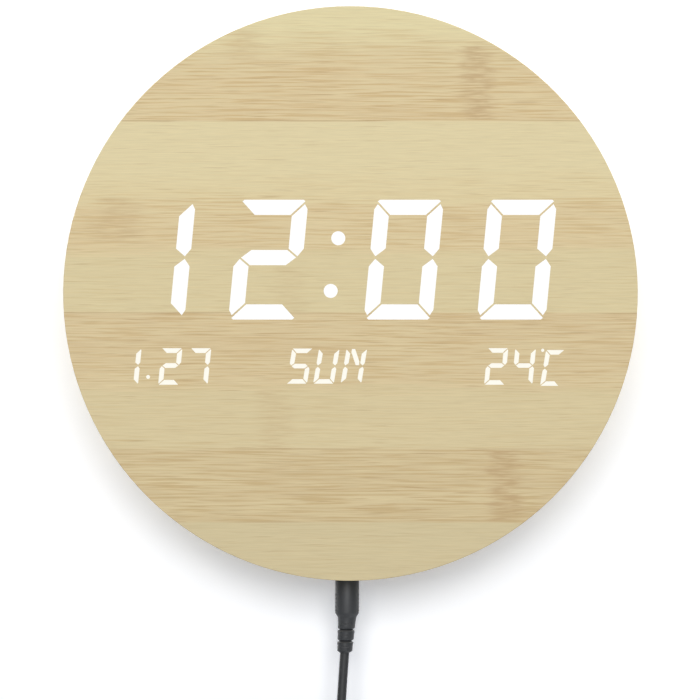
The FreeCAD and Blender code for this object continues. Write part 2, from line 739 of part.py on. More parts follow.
def build_cord():
    exit_point = relief_end()
    lead = [exit_point + V(*step) for step in cord_steps]
    tail = [exit_point + V(*step) for step in tail_steps]
    save("power_cord", tube_along(lead, cord_radius))
    save("cord_tail", tube_along(tail, cord_radius))
    half_width = (coil_columns - 1) / 2 * coil_turn_pitch + cord_radius
    half_height = (coil_layers - 1) / 2 * coil_turn_pitch + cord_radius
    outer_turn = coil_radius + half_height - cord_radius
    middle = V(lead[-1].x - outer_turn, (lead[-1].y + tail[0].y) / 2, lead[-1].z)
    section = box(middle.x + coil_radius - half_height, middle.x + coil_radius + half_height,
                  middle.y - half_width, middle.y + half_width, middle.z - 0.5, middle.z)
    outline = [f for f in section.Faces if abs(f.CenterOfMass.z - middle.z) < 0.01][0]
    coil = outline.revolve(middle, V(0, 1, 0), 360)
    save("cord_coil", coil.makeFillet(0.45 * cord_radius, [e for e in coil.Edges if e.Closed]))
    x0 = middle.x + coil_radius - half_height - seat_gap
    x1 = middle.x + coil_radius + half_height + seat_gap
    y0 = middle.y - half_width - seat_gap
    y1 = middle.y + half_width + seat_gap
    z0 = middle.z - tie_width / 2
    z1 = middle.z + tie_width / 2
    t = tie_thickness
    strap = rounded_bar(x0 - t, x1 + t, y0 - t, y1 + t, z0, z1, cord_radius + t)
    save("cord_tie", strap.cut(rounded_bar(x0, x1, y0, y1, z0, z1, cord_radius)))
    build_usb_plug(tail[-1])


def build_usb_plug(foot):
    """The plug hangs under the cord's end: relief, moulded body, then the metal shell."""
    relief = Part.makeCone(cord_radius + 0.6, cord_radius + 1.6, usb_relief_length, foot, V(0, 0, -1))
    top = foot.z - usb_relief_length
    low = top - usb_body_length
    body = box(foot.x - usb_body_width / 2, foot.x + usb_body_width / 2, foot.y - usb_body_depth / 2,
               foot.y + usb_body_depth / 2, low, top)
    body = body.makeFillet(2.0, body.Edges).fuse(relief).removeSplitter()
    save("usb_plug_body", body)
    end = low - usb_shell_length
    wall = 0.4
    shell = box(foot.x - usb_width / 2, foot.x + usb_width / 2, foot.y - usb_depth / 2, foot.y + usb_depth / 2,
                end, low)
    hollow = box(foot.x - usb_width / 2 + wall, foot.x + usb_width / 2 - wall, foot.y - usb_depth / 2 + wall,
                 foot.y + usb_depth / 2 - wall, end, low)
    windows = [box(foot.x + x - 1.2, foot.x + x + 1.2, foot.y - usb_depth, foot.y + usb_depth, end + 6.0, end + 8.2)
               for x in (-2.8, 2.8)]
    save("usb_shell", shell.cut(hollow).cut(Part.Compound(windows)))
    tongue = box(foot.x - usb_width / 2 + wall, foot.x + usb_width / 2 - wall, foot.y,
                 foot.y + usb_depth / 2 - wall, end + 0.8, low)
    save("usb_tongue", tongue)
    contacts = [box(foot.x + x - 0.55, foot.x + x + 0.55, foot.y - 0.2, foot.y, end + 1.4, low - 5.0)
                for x in (-3.5, -1.2, 1.2, 3.5)]
    save("usb_contacts", Part.Compound(contacts))


build_face()
build_case()
build_display()
build_controls()
build_buttons()
build_slide_switch()
build_cover()
build_hanger()
build_battery()
build_inlet()
build_plug()
build_cord()
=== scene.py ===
import logging
import math
from collections.abc import Callable, Sequence
from dataclasses import dataclass, field
from enum import Enum
from functools import reduce

import bpy
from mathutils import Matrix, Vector


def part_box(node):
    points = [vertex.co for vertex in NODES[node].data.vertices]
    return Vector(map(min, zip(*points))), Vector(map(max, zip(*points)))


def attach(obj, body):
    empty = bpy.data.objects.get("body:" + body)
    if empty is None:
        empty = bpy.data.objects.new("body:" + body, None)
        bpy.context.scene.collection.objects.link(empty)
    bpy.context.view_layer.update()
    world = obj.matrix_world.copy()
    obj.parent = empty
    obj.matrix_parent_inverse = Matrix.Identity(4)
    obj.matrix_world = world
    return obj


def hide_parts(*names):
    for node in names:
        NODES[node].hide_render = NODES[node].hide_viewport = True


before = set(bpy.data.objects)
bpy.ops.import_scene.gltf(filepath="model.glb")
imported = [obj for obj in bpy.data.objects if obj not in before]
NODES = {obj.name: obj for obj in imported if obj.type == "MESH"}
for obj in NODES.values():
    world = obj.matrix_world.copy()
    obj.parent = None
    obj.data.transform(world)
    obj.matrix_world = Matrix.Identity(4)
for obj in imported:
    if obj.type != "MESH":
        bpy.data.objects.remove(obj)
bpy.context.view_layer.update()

log = logging.getLogger("clock")
MM = 0.001


class Body(Enum):
    """The rigid bodies that pieces ride on."""

    CLOCK = "clock_body"
    SET = "push_set"
    UP = "push_up"
    DOWN = "push_down"
    SOUND = "sound_switch"
    BATTERY = "battery_cap"
    LEAD = "power_lead"


class Axis(Enum):
    """The direction that a turned piece is built along."""

    DEPTH = (0.0, 1.0, 0.0)
    UP = (0.0, 0.0, 1.0)


# ------------------------------------------------------------------ modelling
Ring = tuple[float, float]


def rings_from(place: float, radius: float, steps: Sequence[Ring]) -> list[Ring]:
    """Rings of a turned piece, given as steps from one of its corners.

    Args:
        place: the corner's place along the axis, in metres.
        radius: the corner's radius, in metres.
        steps: (along the axis, outward) from the corner, in millimetres.
    Returns:
        The rings' places and radii, in metres.
    """
    return [(place + along * MM, radius + outward * MM) for along, outward in steps]


def middle_of(low: Sequence[float], high: Sequence[float], y: float = 0.0) -> Vector:
    """The middle of a box in X and Z, at a given Y."""
    return Vector(((low[0] + high[0]) / 2, y, (low[2] + high[2]) / 2))


class Bench:
    """Small modelling steps that every piece shares; each works on the active object."""

    @staticmethod
    def clear() -> None:
        """Deselects everything, in object mode."""
        if bpy.context.object and bpy.context.object.mode != "OBJECT":
            bpy.ops.object.mode_set(mode="OBJECT")
        bpy.ops.object.select_all(action="DESELECT")

    @staticmethod
    def edit() -> None:
        """Enters edit mode with the whole mesh selected."""
        bpy.ops.object.mode_set(mode="EDIT")
        bpy.ops.mesh.select_all(action="SELECT")

    @staticmethod
    def pick_faces(piece: bpy.types.Object, wanted: Callable[[bpy.types.MeshPolygon], bool]) -> None:
        """Selects in edit mode the faces that a test accepts.

        Args:
            piece: the object being shaped.
            wanted: a test of one polygon.
        """
        bpy.ops.mesh.select_mode(type="FACE")
        bpy.ops.mesh.select_all(action="DESELECT")
        bpy.ops.object.mode_set(mode="OBJECT")
        for polygon in piece.data.polygons:
            polygon.select = wanted(polygon)
        bpy.ops.object.mode_set(mode="EDIT")

    @staticmethod
    def modifier(piece: bpy.types.Object, kind: str, **settings: object) -> None:
        """Adds a modifier and applies it at once.

        Args:
            piece: the object it shapes.
            kind: Blender's modifier type.
            settings: values of the modifier's fields.
        """
        bpy.context.view_layer.objects.active = piece
        made = piece.modifiers.new(kind.title(), kind)
        for name, value in settings.items():
            setattr(made, name, value)
        bpy.ops.object.modifier_apply(modifier=made.name)

    @staticmethod
    def settle(piece: bpy.types.Object, smooth_deg: float = 35.0) -> None:
        """Puts the object at the origin with its place in its mesh, normals out and edges smoothed.

        Args:
            piece: the finished object.
            smooth_deg: edges flatter than this are shaded smooth.
        """
        Bench.clear()
        piece.select_set(True)
        bpy.context.view_layer.objects.active = piece
        bpy.ops.object.transform_apply(location=True, rotation=True, scale=True)
        Bench.edit()
        bpy.ops.mesh.remove_doubles(threshold=1e-6)
        bpy.ops.mesh.normals_make_consistent(inside=False)
        bpy.ops.object.mode_set(mode="OBJECT")
        bpy.ops.object.shade_smooth_by_angle(angle=math.radians(smooth_deg))
        Bench.clear()

    @staticmethod
    def turned(name: str, rings: Sequence[Ring], centre: Vector, axis: Axis, sides: int = 64,
               drift: Callable[[float], float] | None = None) -> bpy.types.Object:
        """Turns a closed round piece: a ring is extruded along the axis and resized at each step.

        Args:
            name: the object's name.
            rings: (place along the axis, radius) of each ring, in metres.
            centre: the axis's point at place 0.
            axis: which way the piece is built.
            sides: corners of each ring.
            drift: sideways shift along X at a place along the axis, for a piece that leans.
        Returns:
            The new object, in object mode.
        """
        way = Vector(axis.value)
        flat = (1.0, 0.0, 1.0) if axis is Axis.DEPTH else (1.0, 1.0, 0.0)
        turn = (math.pi / 2, 0.0, 0.0) if axis is Axis.DEPTH else (0.0, 0.0, 0.0)
        shift = drift or (lambda place: 0.0)
        place, radius = rings[0]
        at = centre + way * place + Vector((shift(place), 0.0, 0.0))
        Bench.clear()
        bpy.ops.mesh.primitive_circle_add(vertices=sides, radius=radius, location=at, rotation=turn)
        piece = bpy.context.object
        piece.name = name
        Bench.edit()
        bpy.ops.mesh.select_mode(type="EDGE")
        for next_place, next_radius in rings[1:]:
            side_step = shift(next_place) - shift(place)
            step = way * (next_place - place) + Vector((side_step, 0.0, 0.0))
            bpy.ops.mesh.extrude_region_move(TRANSFORM_OT_translate={"value": step})
            at = at + step
            ratio = next_radius / radius
            scale = tuple(ratio if keep else 1.0 for keep in flat)
            bpy.ops.transform.resize(value=scale, center_override=at)
            place, radius = next_place, next_radius
        bpy.ops.mesh.select_all(action="SELECT")
        bpy.ops.mesh.fill_holes(sides=0)
        bpy.ops.object.mode_set(mode="OBJECT")
        return piece

    @staticmethod
    def block(name: str, low: Vector, high: Vector, rounding: float, segments: int = 3) -> bpy.types.Object:
        """A block with rounded edges.

        Args:
            name: the object's name.
            low: lowest corner.
            high: highest corner.
            rounding: radius of the rounded edges.
            segments: steps across each rounding.
        Returns:
            The new object, still at its place.
        """
        Bench.clear()
        bpy.ops.mesh.primitive_cube_add(size=1.0, location=(low + high) / 2)
        piece = bpy.context.object
        piece.name = name
        piece.scale = high - low
        bpy.ops.object.transform_apply(location=False, rotation=False, scale=True)
        if rounding:
            Bench.modifier(piece, "BEVEL", width=rounding, segments=segments, limit_method="NONE")
        return piece

    @staticmethod
    def prism(name: str, corners: int, radius: float, centre: Vector, depth: float, turn: float = 0.0,
              rounding: float = 0.0) -> bpy.types.Object:
        """A low prism that stands along +Y, such as a raised mark on the cover.

        Args:
            name: the object's name.
            corners: corners of its outline.
            radius: from its middle to a corner.
            centre: the middle of its foot.
            depth: how far it stands out.
            turn: turn of the outline, in radians, as seen from the front.
            rounding: width of the bevel on its edges.
        Returns:
            The new object.
        """
        Bench.clear()
        bpy.ops.mesh.primitive_circle_add(vertices=corners, radius=radius, fill_type="NGON", location=centre,
                                          rotation=(math.pi / 2, turn, 0.0))
        piece = bpy.context.object
        piece.name = name
        Bench.edit()
        bpy.ops.mesh.extrude_region_move(TRANSFORM_OT_translate={"value": (0.0, depth, 0.0)})
        bpy.ops.object.mode_set(mode="OBJECT")
        if rounding:
            Bench.modifier(piece, "BEVEL", width=rounding, segments=2, limit_method="ANGLE")
        return piece

    @staticmethod
    def cut(piece: bpy.types.Object, tool: bpy.types.Object) -> None:
        """Takes a tool's shape out of a piece, and removes the tool."""
        Bench.modifier(piece, "BOOLEAN", operation="DIFFERENCE", object=tool, solver="EXACT")
        bpy.data.objects.remove(tool, do_unlink=True)

    @staticmethod
    def join(name: str, pieces: Sequence[bpy.types.Object]) -> bpy.types.Object:
        """Joins copies and parts of one piece into one object.

        Args:
            name: the joined object's name.
            pieces: the objects, of which the first one is kept.
        Returns:
            The joined object.
        """
        Bench.clear()
        for piece in pieces:
            piece.select_set(True)
        bpy.context.view_layer.objects.active = pieces[0]
        bpy.ops.object.join()
        pieces[0].name = name
        return pieces[0]

    @staticmethod
    def copy(piece: bpy.types.Object, shift: Vector) -> bpy.types.Object:
        """A copy with its own mesh, moved from the first one."""
        twin = piece.copy()
        twin.data = piece.data.copy()
        bpy.context.collection.objects.link(twin)
        twin.location = piece.location + shift
        return twin


# ------------------------------------------------------------------ materials
class Sheet:
    """A node tree that is filled in one call per node."""

    def __init__(self, tree: bpy.types.NodeTree) -> None:
        """Keeps the tree to be filled."""
        self.tree = tree

    def add(self, kind: str, *inputs: object, **settings: object) -> bpy.types.Node:
        """Adds a node.

        Args:
            kind: the node's type without its "ShaderNode" prefix.
            inputs: a value or a socket for each input in order; None leaves one as it is.
            settings: fields of the node; a name that is an input's name (with _ for space) sets it.
        Returns:
            The new node.
        """
        node = self.tree.nodes.new("ShaderNode" + kind)
        named = {}
        for name, value in settings.items():
            if hasattr(node, name):
                setattr(node, name, value)
            else:
                named[name.replace("_", " ")] = value
        for index, value in list(enumerate(inputs)) + list(named.items()):
            if value is not None:
                self.put(value, node.inputs[index])
        return node

    def put(self, value: object, target: bpy.types.NodeSocket) -> None:
        """Links a socket to an input, or sets a plain value on the input itself."""
        if isinstance(value, bpy.types.NodeSocket):
            self.tree.links.new(value, target)
        else:
            target.default_value = value

    def feed(self, node: bpy.types.Node, **inputs: object) -> None:
        """Puts values or sockets into a node's inputs by name, with _ for each space."""
        for name, value in inputs.items():
            self.put(value, node.inputs[name.replace("_", " ")])

    def math(self, operation: str, *inputs: object) -> bpy.types.NodeSocket:
        """A Math node's result."""
        return self.add("Math", *inputs, operation=operation).outputs[0]

    def times(self, first: object, second: object) -> bpy.types.NodeSocket:
        """The product of two values."""
        return self.math("MULTIPLY", first, second)

    def plus(self, first: object, second: object) -> bpy.types.NodeSocket:
        """The sum of two values."""
        return self.math("ADD", first, second)

    def less(self, first: object, second: object) -> bpy.types.NodeSocket:
        """The first value less the second."""
        return self.math("SUBTRACT", first, second)

    def sway(self, value: object, reach: float) -> bpy.types.NodeSocket:
        """Turns a value from 0 to 1 into a shift either way, as wide as the reach."""
        return self.times(self.less(value, 0.5), reach)

    def split(self, vector: object) -> tuple[bpy.types.NodeSocket, ...]:
        """A vector's X, Y and Z."""
        return tuple(self.add("SeparateXYZ", vector).outputs)

    def vector(self, x: object, y: object, z: object = 0.0) -> bpy.types.NodeSocket:
        """A vector from three values or sockets."""
        return self.add("CombineXYZ", x, y, z).outputs[0]

    def stretch(self, vector: object, scales: tuple[float, float, float]) -> bpy.types.NodeSocket:
        """A vector with each part scaled by its own amount."""
        return self.add("VectorMath", vector, scales, operation="MULTIPLY").outputs[0]

    def noise(self, vector: object, scale: float, detail: float) -> bpy.types.NodeSocket:
        """A noise over a vector."""
        return self.add("TexNoise", Vector=vector, Scale=scale, Detail=detail).outputs[0]

    def grain(self, x: object, y: object, x_scale: float, y_scale: float, detail: float = 2.0,
              seed: float = 0.0) -> bpy.types.NodeSocket:
        """A noise that is stretched: each coordinate has its own scale.

        Args:
            x: the coordinate along the grain.
            y: the coordinate across it.
            x_scale: waves in a metre along the grain.
            y_scale: waves in a metre across it.
            detail: how many finer layers it has.
            seed: picks another noise of the same kind.
        Returns:
            The value socket.
        """
        return self.noise(self.vector(self.times(x, x_scale), self.times(y, y_scale), seed), 1.0, detail)

    def span(self, value: object, low: float, high: float, to_low: float = 0.0, to_high: float = 1.0,
             smooth: bool = False) -> bpy.types.NodeSocket:
        """Maps one range of values to another, and stops at its ends."""
        kind = "SMOOTHSTEP" if smooth else "LINEAR"
        node = self.add("MapRange", value, low, high, to_low, to_high, interpolation_type=kind, clamp=True)
        return node.outputs[0]

    def grey(self, value: object) -> bpy.types.NodeSocket:
        """A grey of the given brightness."""
        return self.add("CombineColor", value, value, value).outputs[0]

    def mix(self, share: object, first: object, second: object, blend: str = "MIX") -> bpy.types.NodeSocket:
        """Mixes two colours."""
        other_types = [None] * 5
        node = self.add("Mix", share, *other_types, first, second, data_type="RGBA", blend_type=blend)
        return node.outputs[2]

    def ramp(self, value: object, stops: Sequence[tuple[float, tuple[float, ...]]]) -> bpy.types.NodeSocket:
        """A colour ramp.

        Args:
            value: the socket that is looked up.
            stops: (place from 0 to 1, colour) in rising order.
        Returns:
            The colour socket.
        """
        node = self.add("ValToRGB", value)
        elements = node.color_ramp.elements
        while len(elements) < len(stops):
            elements.new(0.5)
        for element, (place, colour) in zip(elements, stops):
            element.position = place
            element.color = colour
        return node.outputs[0]


def srgb(red: int, green: int, blue: int) -> tuple[float, float, float, float]:
    """A colour given as on a swatch, turned to the linear values that a shader takes."""
    linear = [((c / 255 + 0.055) / 1.055) ** 2.4 if c > 10 else c / 255 / 12.92 for c in (red, green, blue)]
    return (*linear, 1.0)


class Effects:
    """Shader groups that more than one finish uses, each built once."""

    made: dict[str, bpy.types.NodeTree] = {}

    @classmethod
    def group(cls, name: str, inputs: Sequence[tuple[str, str, float]], outputs: Sequence[tuple[str, str]],
              fill: Callable[[Sheet, bpy.types.Node, bpy.types.Node], None]) -> bpy.types.NodeTree:
        """Builds a group on its first use.

        Args:
            name: the group's name.
            inputs: (name, socket type, default) of each input.
            outputs: (name, socket type) of each output.
            fill: fills the tree, given its sheet, its input node and its output node.
        Returns:
            The group's node tree.
        """
        if name not in cls.made:
            tree = bpy.data.node_groups.new(name, "ShaderNodeTree")
            for label, kind, value in inputs:
                socket = tree.interface.new_socket(label, in_out="INPUT", socket_type="NodeSocket" + kind)
                if kind == "Float":
                    socket.default_value = value
            for label, kind in outputs:
                tree.interface.new_socket(label, in_out="OUTPUT", socket_type="NodeSocket" + kind)
            fill(Sheet(tree), tree.nodes.new("NodeGroupInput"), tree.nodes.new("NodeGroupOutput"))
            cls.made[name] = tree
        return cls.made[name]

    @staticmethod
    def place(sheet: Sheet, tree: bpy.types.NodeTree, **inputs: object) -> bpy.types.Node:
        """Puts a group into a material, with its own values."""
        return sheet.add("Group", node_tree=tree, **inputs)

    @classmethod
    def bamboo_fibre(cls) -> bpy.types.NodeTree:
        """Streaks, fibres and dashes along X of the vector it is given."""
        def fill(sheet: Sheet, given: bpy.types.Node, result: bpy.types.Node) -> None:
            """Layers noises that are stretched along the grain."""
            along, across, _ = sheet.split(given.outputs["Vector"])
            bent = sheet.plus(across, sheet.sway(sheet.grain(along, across, 6.0, 35.0), 0.0022))
            for name, values in layers.items():
                sheet.put(sheet.grain(along, bent, *values), result.inputs[name])

        layers = {"Cloud": (13.0, 105.0, 3.0, 1.7), "Streak": (34.0, 1250.0, 2.5, 4.1),
                  "Fibre": (110.0, 2800.0, 2.0, 8.3), "Dash": (46.0, 1450.0, 1.0, 12.9)}
        return cls.group("bamboo_fibre", [("Vector", "Vector", 0.0)], [(name, "Float") for name in layers], fill)

    @classmethod
    def knuckle(cls) -> bpy.types.NodeTree:
        """A mask over one growth ring of a strip: a mottled patch between two heights."""
        def fill(sheet: Sheet, given: bpy.types.Node, result: bpy.types.Node) -> None:
            """Fades a column out at its sides and at the strip's edges, and mottles it."""
            x, z, _ = sheet.split(given.outputs["Vector"])
            sway = sheet.sway(sheet.grain(x, z, 25.0, 380.0), 0.022)
            off = sheet.math("ABSOLUTE", sheet.plus(sheet.less(x, given.outputs["Place"]), sway))
            column = sheet.less(1.0, sheet.math("DIVIDE", off, given.outputs["Half Width"]))
            column = sheet.span(column, 0.0, 0.75, smooth=True)
            above = sheet.span(sheet.less(z, given.outputs["Low"]), 0.0, 0.001)
            below = sheet.span(sheet.less(given.outputs["High"], z), 0.0, 0.001)
            mottle = sheet.span(sheet.grain(x, z, 120.0, 1300.0), 0.36, 0.62, 0.15, 1.0)
            mask = sheet.times(sheet.times(column, sheet.times(above, below)), mottle)
            sheet.feed(result, Mask=mask)

        inputs = [("Vector", "Vector", 0.0)]
        inputs += [(name, "Float", 0.0) for name in ("Place", "Half Width", "Low", "High")]
        return cls.group("knuckle", inputs, [("Mask", "Float")], fill)

    @classmethod
    def moulded_grain(cls) -> bpy.types.NodeTree:
        """The fine spark texture of moulded plastic, with slow patches of handling."""
        def fill(sheet: Sheet, given: bpy.types.Node, result: bpy.types.Node) -> None:
            """Mixes a pitted texture with a fine noise, and adds slow patches."""
            scaled = sheet.add("VectorMath", given.outputs["Vector"], operation="SCALE", Scale=given.outputs["Scale"])
            pits = sheet.add("TexVoronoi", Vector=scaled.outputs[0], Scale=1.0).outputs["Distance"]
            fine = sheet.noise(scaled.outputs[0], 2.3, 3.0)
            height = sheet.plus(sheet.times(pits, 0.6), sheet.times(fine, 0.5))
            sheet.feed(result, Height=height, Patch=sheet.noise(given.outputs["Vector"], 38.0, 4.0))

        inputs = [("Vector", "Vector", 0.0), ("Scale", "Float", 1600.0)]
        return cls.group("moulded_grain", inputs, [("Height", "Float"), ("Patch", "Float")], fill)

    @classmethod
    def edge_wear(cls) -> bpy.types.NodeTree:
        """A mask on convex edges, broken up by noise."""
        def fill(sheet: Sheet, given: bpy.types.Node, result: bpy.types.Node) -> None:
            """Compares the true normal with one that is rounded at the edges."""
            rounded = sheet.add("Bevel", samples=4, Radius=given.outputs["Width"])
            true = sheet.add("NewGeometry").outputs["Normal"]
            match = sheet.add("VectorMath", rounded.outputs[0], true, operation="DOT_PRODUCT").outputs["Value"]
            edge = sheet.span(match, 0.995, 0.8)
            breaks = sheet.span(sheet.noise(given.outputs["Vector"], 420.0, 4.0), 0.35, 0.65)
            sheet.feed(result, Mask=sheet.times(edge, breaks))

        inputs = [("Vector", "Vector", 0.0), ("Width", "Float", 0.0005)]
        return cls.group("edge_wear", inputs, [("Mask", "Float")], fill)

    @classmethod
    def dust(cls) -> bpy.types.NodeTree:
        """A thin film of dust that gathers on faces that look up."""
        def fill(sheet: Sheet, given: bpy.types.Node, result: bpy.types.Node) -> None:
            """Takes the upward part of the normal, broken up by noise."""
            upward = sheet.span(sheet.split(sheet.add("NewGeometry").outputs["Normal"])[2], 0.15, 1.0)
            cloud = sheet.span(sheet.noise(given.outputs["Vector"], 160.0, 6.0), 0.3, 0.75)
            sheet.feed(result, Mask=sheet.times(upward, cloud))

        return cls.group("dust", [("Vector", "Vector", 0.0)], [("Mask", "Float")], fill)


def new_material(name: str) -> tuple[bpy.types.Material, Sheet, bpy.types.Node, bpy.types.NodeSocket]:
    """A fresh material with a Principled shader.

    Args:
        name: the material's name.
    Returns:
        The material, its sheet, its Principled node and the Object coordinates socket.
    """
    material = bpy.data.materials.new(name)
    material.use_nodes = True
    material.node_tree.nodes.clear()
    sheet = Sheet(material.node_tree)
    shader = sheet.add("BsdfPrincipled")
    sheet.add("OutputMaterial", shader.outputs[0])
    return material, sheet, shader, sheet.add("TexCoord").outputs["Object"]


def bump(sheet: Sheet, shader: bpy.types.Node, height: bpy.types.NodeSocket, strength: float,
         distance: float) -> None:
    """Feeds a height through a Bump node into a shader's normal."""
    sheet.feed(shader, Normal=sheet.add("Bump", Strength=strength, Distance=distance, Height=height).outputs[0])


@dataclass(frozen=True)
class Band:
    """One strip of the bamboo board: where it starts, its colour and how streaky it is."""

    top: float
    colour: tuple[int, int, int]
    streaky: float
    fade: float = 0.0006


@dataclass(frozen=True)
class Knuckle:
    """One growth ring across a strip: its place along the grain, its heights and how dark it is."""

    place: float
    half_width: float
    low: float
    high: float
    depth: float

    def mask(self, sheet: Sheet, at: bpy.types.NodeSocket) -> bpy.types.NodeSocket:
        """Where it darkens the wood, and by how much."""
        node = Effects.place(sheet, Effects.knuckle(), Vector=at, Place=self.place, Half_Width=self.half_width,
                             Low=self.low, High=self.high)
        return sheet.times(node.outputs[0], self.depth)


@dataclass(frozen=True)
class BambooFace:
    """The veneer of the face: strips of bamboo side by side, with streaks and growth rings, and painted shade that
    darkens the lower strips.

    Heights are measured from the middle of the face, in metres.
    """

    name: str = "bamboo_face"
    middle: float = -0.082
    reach: float = 0.1255
    # The strips' colours are partly their own tones and partly painted shade: they grow darker from the top towards
    # the foot, as if lit from above.
    bands: tuple[Band, ...] = (
        Band(0.1255, (223, 211, 166), 0.25), Band(0.1105, (217, 199, 156), 0.75, 0.0110),
        Band(0.0990, (216, 195, 152), 1.0, 0.0060), Band(0.0751, (222, 208, 165), 0.20),
        Band(0.0475, (221, 205, 161), 0.35, 0.0120), Band(0.0400, (217, 197, 154), 0.85, 0.0080),
        Band(0.0180, (217, 202, 159), 0.35, 0.0030), Band(-0.0085, (213, 192, 150), 0.95),
        Band(-0.0270, (215, 195, 153), 0.90, 0.0080), Band(-0.0412, (215, 199, 157), 0.35, 0.0020),
        Band(-0.0677, (209, 189, 147), 0.95), Band(-0.0900, (207, 187, 145), 0.90, 0.0060),
        Band(-0.0995, (209, 194, 154), 0.25))
    seams: tuple[float, ...] = (0.0751, -0.0085, -0.0677, -0.0995)
    knuckles: tuple[Knuckle, ...] = (
        Knuckle(0.0545, 0.0095, 0.0751, 0.1080, 0.75), Knuckle(0.0673, 0.0095, -0.0995, -0.0677, 0.85),
        Knuckle(-0.0330, 0.0100, -0.0690, -0.0412, 0.30), Knuckle(-0.0470, 0.0110, 0.1010, 0.1150, 0.30),
        Knuckle(-0.1020, 0.0140, 0.0220, 0.0420, 0.40), Knuckle(-0.0270, 0.0090, -0.0085, 0.0120, 0.22))

    def level(self, height: float) -> float:
        """A height's place from 0 at the foot to 1 at the top of the ramps."""
        return (height + self.reach) / (2 * self.reach)

    def stops(self, tint: Callable[[Band], tuple[float, ...]]) -> list[tuple[float, tuple[float, ...]]]:
        """Ramp stops for one property of the bands, from the foot up.

        Args:
            tint: gives a band's value as a colour.
        Returns:
            The stops in rising order.
        """
        made: list[tuple[float, tuple[float, ...]]] = []
        for upper, lower in zip(self.bands, self.bands[1:]):
            made.append((self.level(lower.top + lower.fade / 2), tint(upper)))
            made.append((self.level(lower.top - lower.fade / 2), tint(lower)))
        return sorted(made)

    def build(self) -> bpy.types.Material:
        """The material of the face."""
        material, sheet, shader, object_at = new_material(self.name)
        x, _, object_z = sheet.split(object_at)
        z = sheet.less(object_z, self.middle)
        at = sheet.vector(x, z)
        fibre = Effects.place(sheet, Effects.bamboo_fibre(), Vector=at)
        height = sheet.plus(z, sheet.sway(sheet.grain(x, z, 14.0, 25.0), 0.0009))
        gaps = [sheet.math("ABSOLUTE", sheet.less(height, seam)) for seam in self.seams]
        nearest = reduce(lambda least, gap: sheet.math("MINIMUM", least, gap), gaps)
        loose = sheet.span(nearest, 0.0008, 0.0050, 0.0, 0.016)
        drift = sheet.sway(fibre.outputs["Streak"], loose)
        patchy = sheet.sway(fibre.outputs["Cloud"], loose)
        level = sheet.span(sheet.plus(height, sheet.plus(drift, patchy)), -self.reach, self.reach)
        # The ramp lays down the strips' colours, including their painted shade towards the foot.
        colour = sheet.ramp(level, self.stops(lambda band: srgb(*band.colour)))
        streaky = sheet.ramp(level, self.stops(lambda band: (band.streaky,) * 3 + (1.0,)))
        colour, relief = bamboo_colour(sheet, colour, streaky, fibre)
        for knuckle in self.knuckles:
            colour = sheet.mix(knuckle.mask(sheet, at), colour, srgb(190, 162, 120))
        line = sheet.span(nearest, 0.0004, 0.0, smooth=True)
        broken = sheet.span(fibre.outputs["Cloud"], 0.42, 0.56)
        colour = sheet.mix(sheet.times(sheet.times(line, broken), 0.6), colour, srgb(172, 142, 102))
        rough = sheet.span(fibre.outputs["Streak"], 0.2, 0.8, 0.52, 0.66)
        sheet.feed(shader, Base_Color=colour, Roughness=rough, Specular_IOR_Level=0.25)
        bump(sheet, shader, relief, 0.35, 0.00006)
        return material


def bamboo_colour(sheet: Sheet, base: bpy.types.NodeSocket, streaky: object,
                  fibre: bpy.types.Node) -> tuple[bpy.types.NodeSocket, bpy.types.NodeSocket]:
    """Lays streaks, fibres and dashes over a base colour.

    Args:
        sheet: the material's sheet.
        base: the strip's colour.
        streaky: from 0, plain, to 1, strongly streaked.
        fibre: a placed bamboo_fibre group.
    Returns:
        The colour, and a height for the bump.
    """
    dark = sheet.mix(1.0, base, srgb(243, 236, 224), "MULTIPLY")
    light = sheet.mix(0.45, base, srgb(224, 209, 166))
    low = sheet.times(sheet.span(fibre.outputs["Streak"], 0.50, 0.38), streaky)
    high = sheet.times(sheet.span(fibre.outputs["Streak"], 0.54, 0.68), streaky)
    cloud = sheet.times(sheet.span(fibre.outputs["Cloud"], 0.47, 0.62, 0.0, 0.7), streaky)
    colour = sheet.mix(cloud, base, light)
    colour = sheet.mix(low, colour, dark)
    colour = sheet.mix(high, colour, light)
    dashes = sheet.span(fibre.outputs["Dash"], 0.64, 0.74)
    dash = sheet.times(dashes, sheet.math("MULTIPLY_ADD", streaky, 0.26, 0.20))
    colour = sheet.mix(dash, colour, srgb(170, 138, 96))
    fine = sheet.span(fibre.outputs["Fibre"], 0.25, 0.75, 0.95, 1.05)
    colour = sheet.mix(1.0, colour, sheet.grey(fine), "MULTIPLY")
    relief = sheet.plus(fibre.outputs["Streak"], sheet.times(fibre.outputs["Fibre"], 0.6))
    return colour, relief


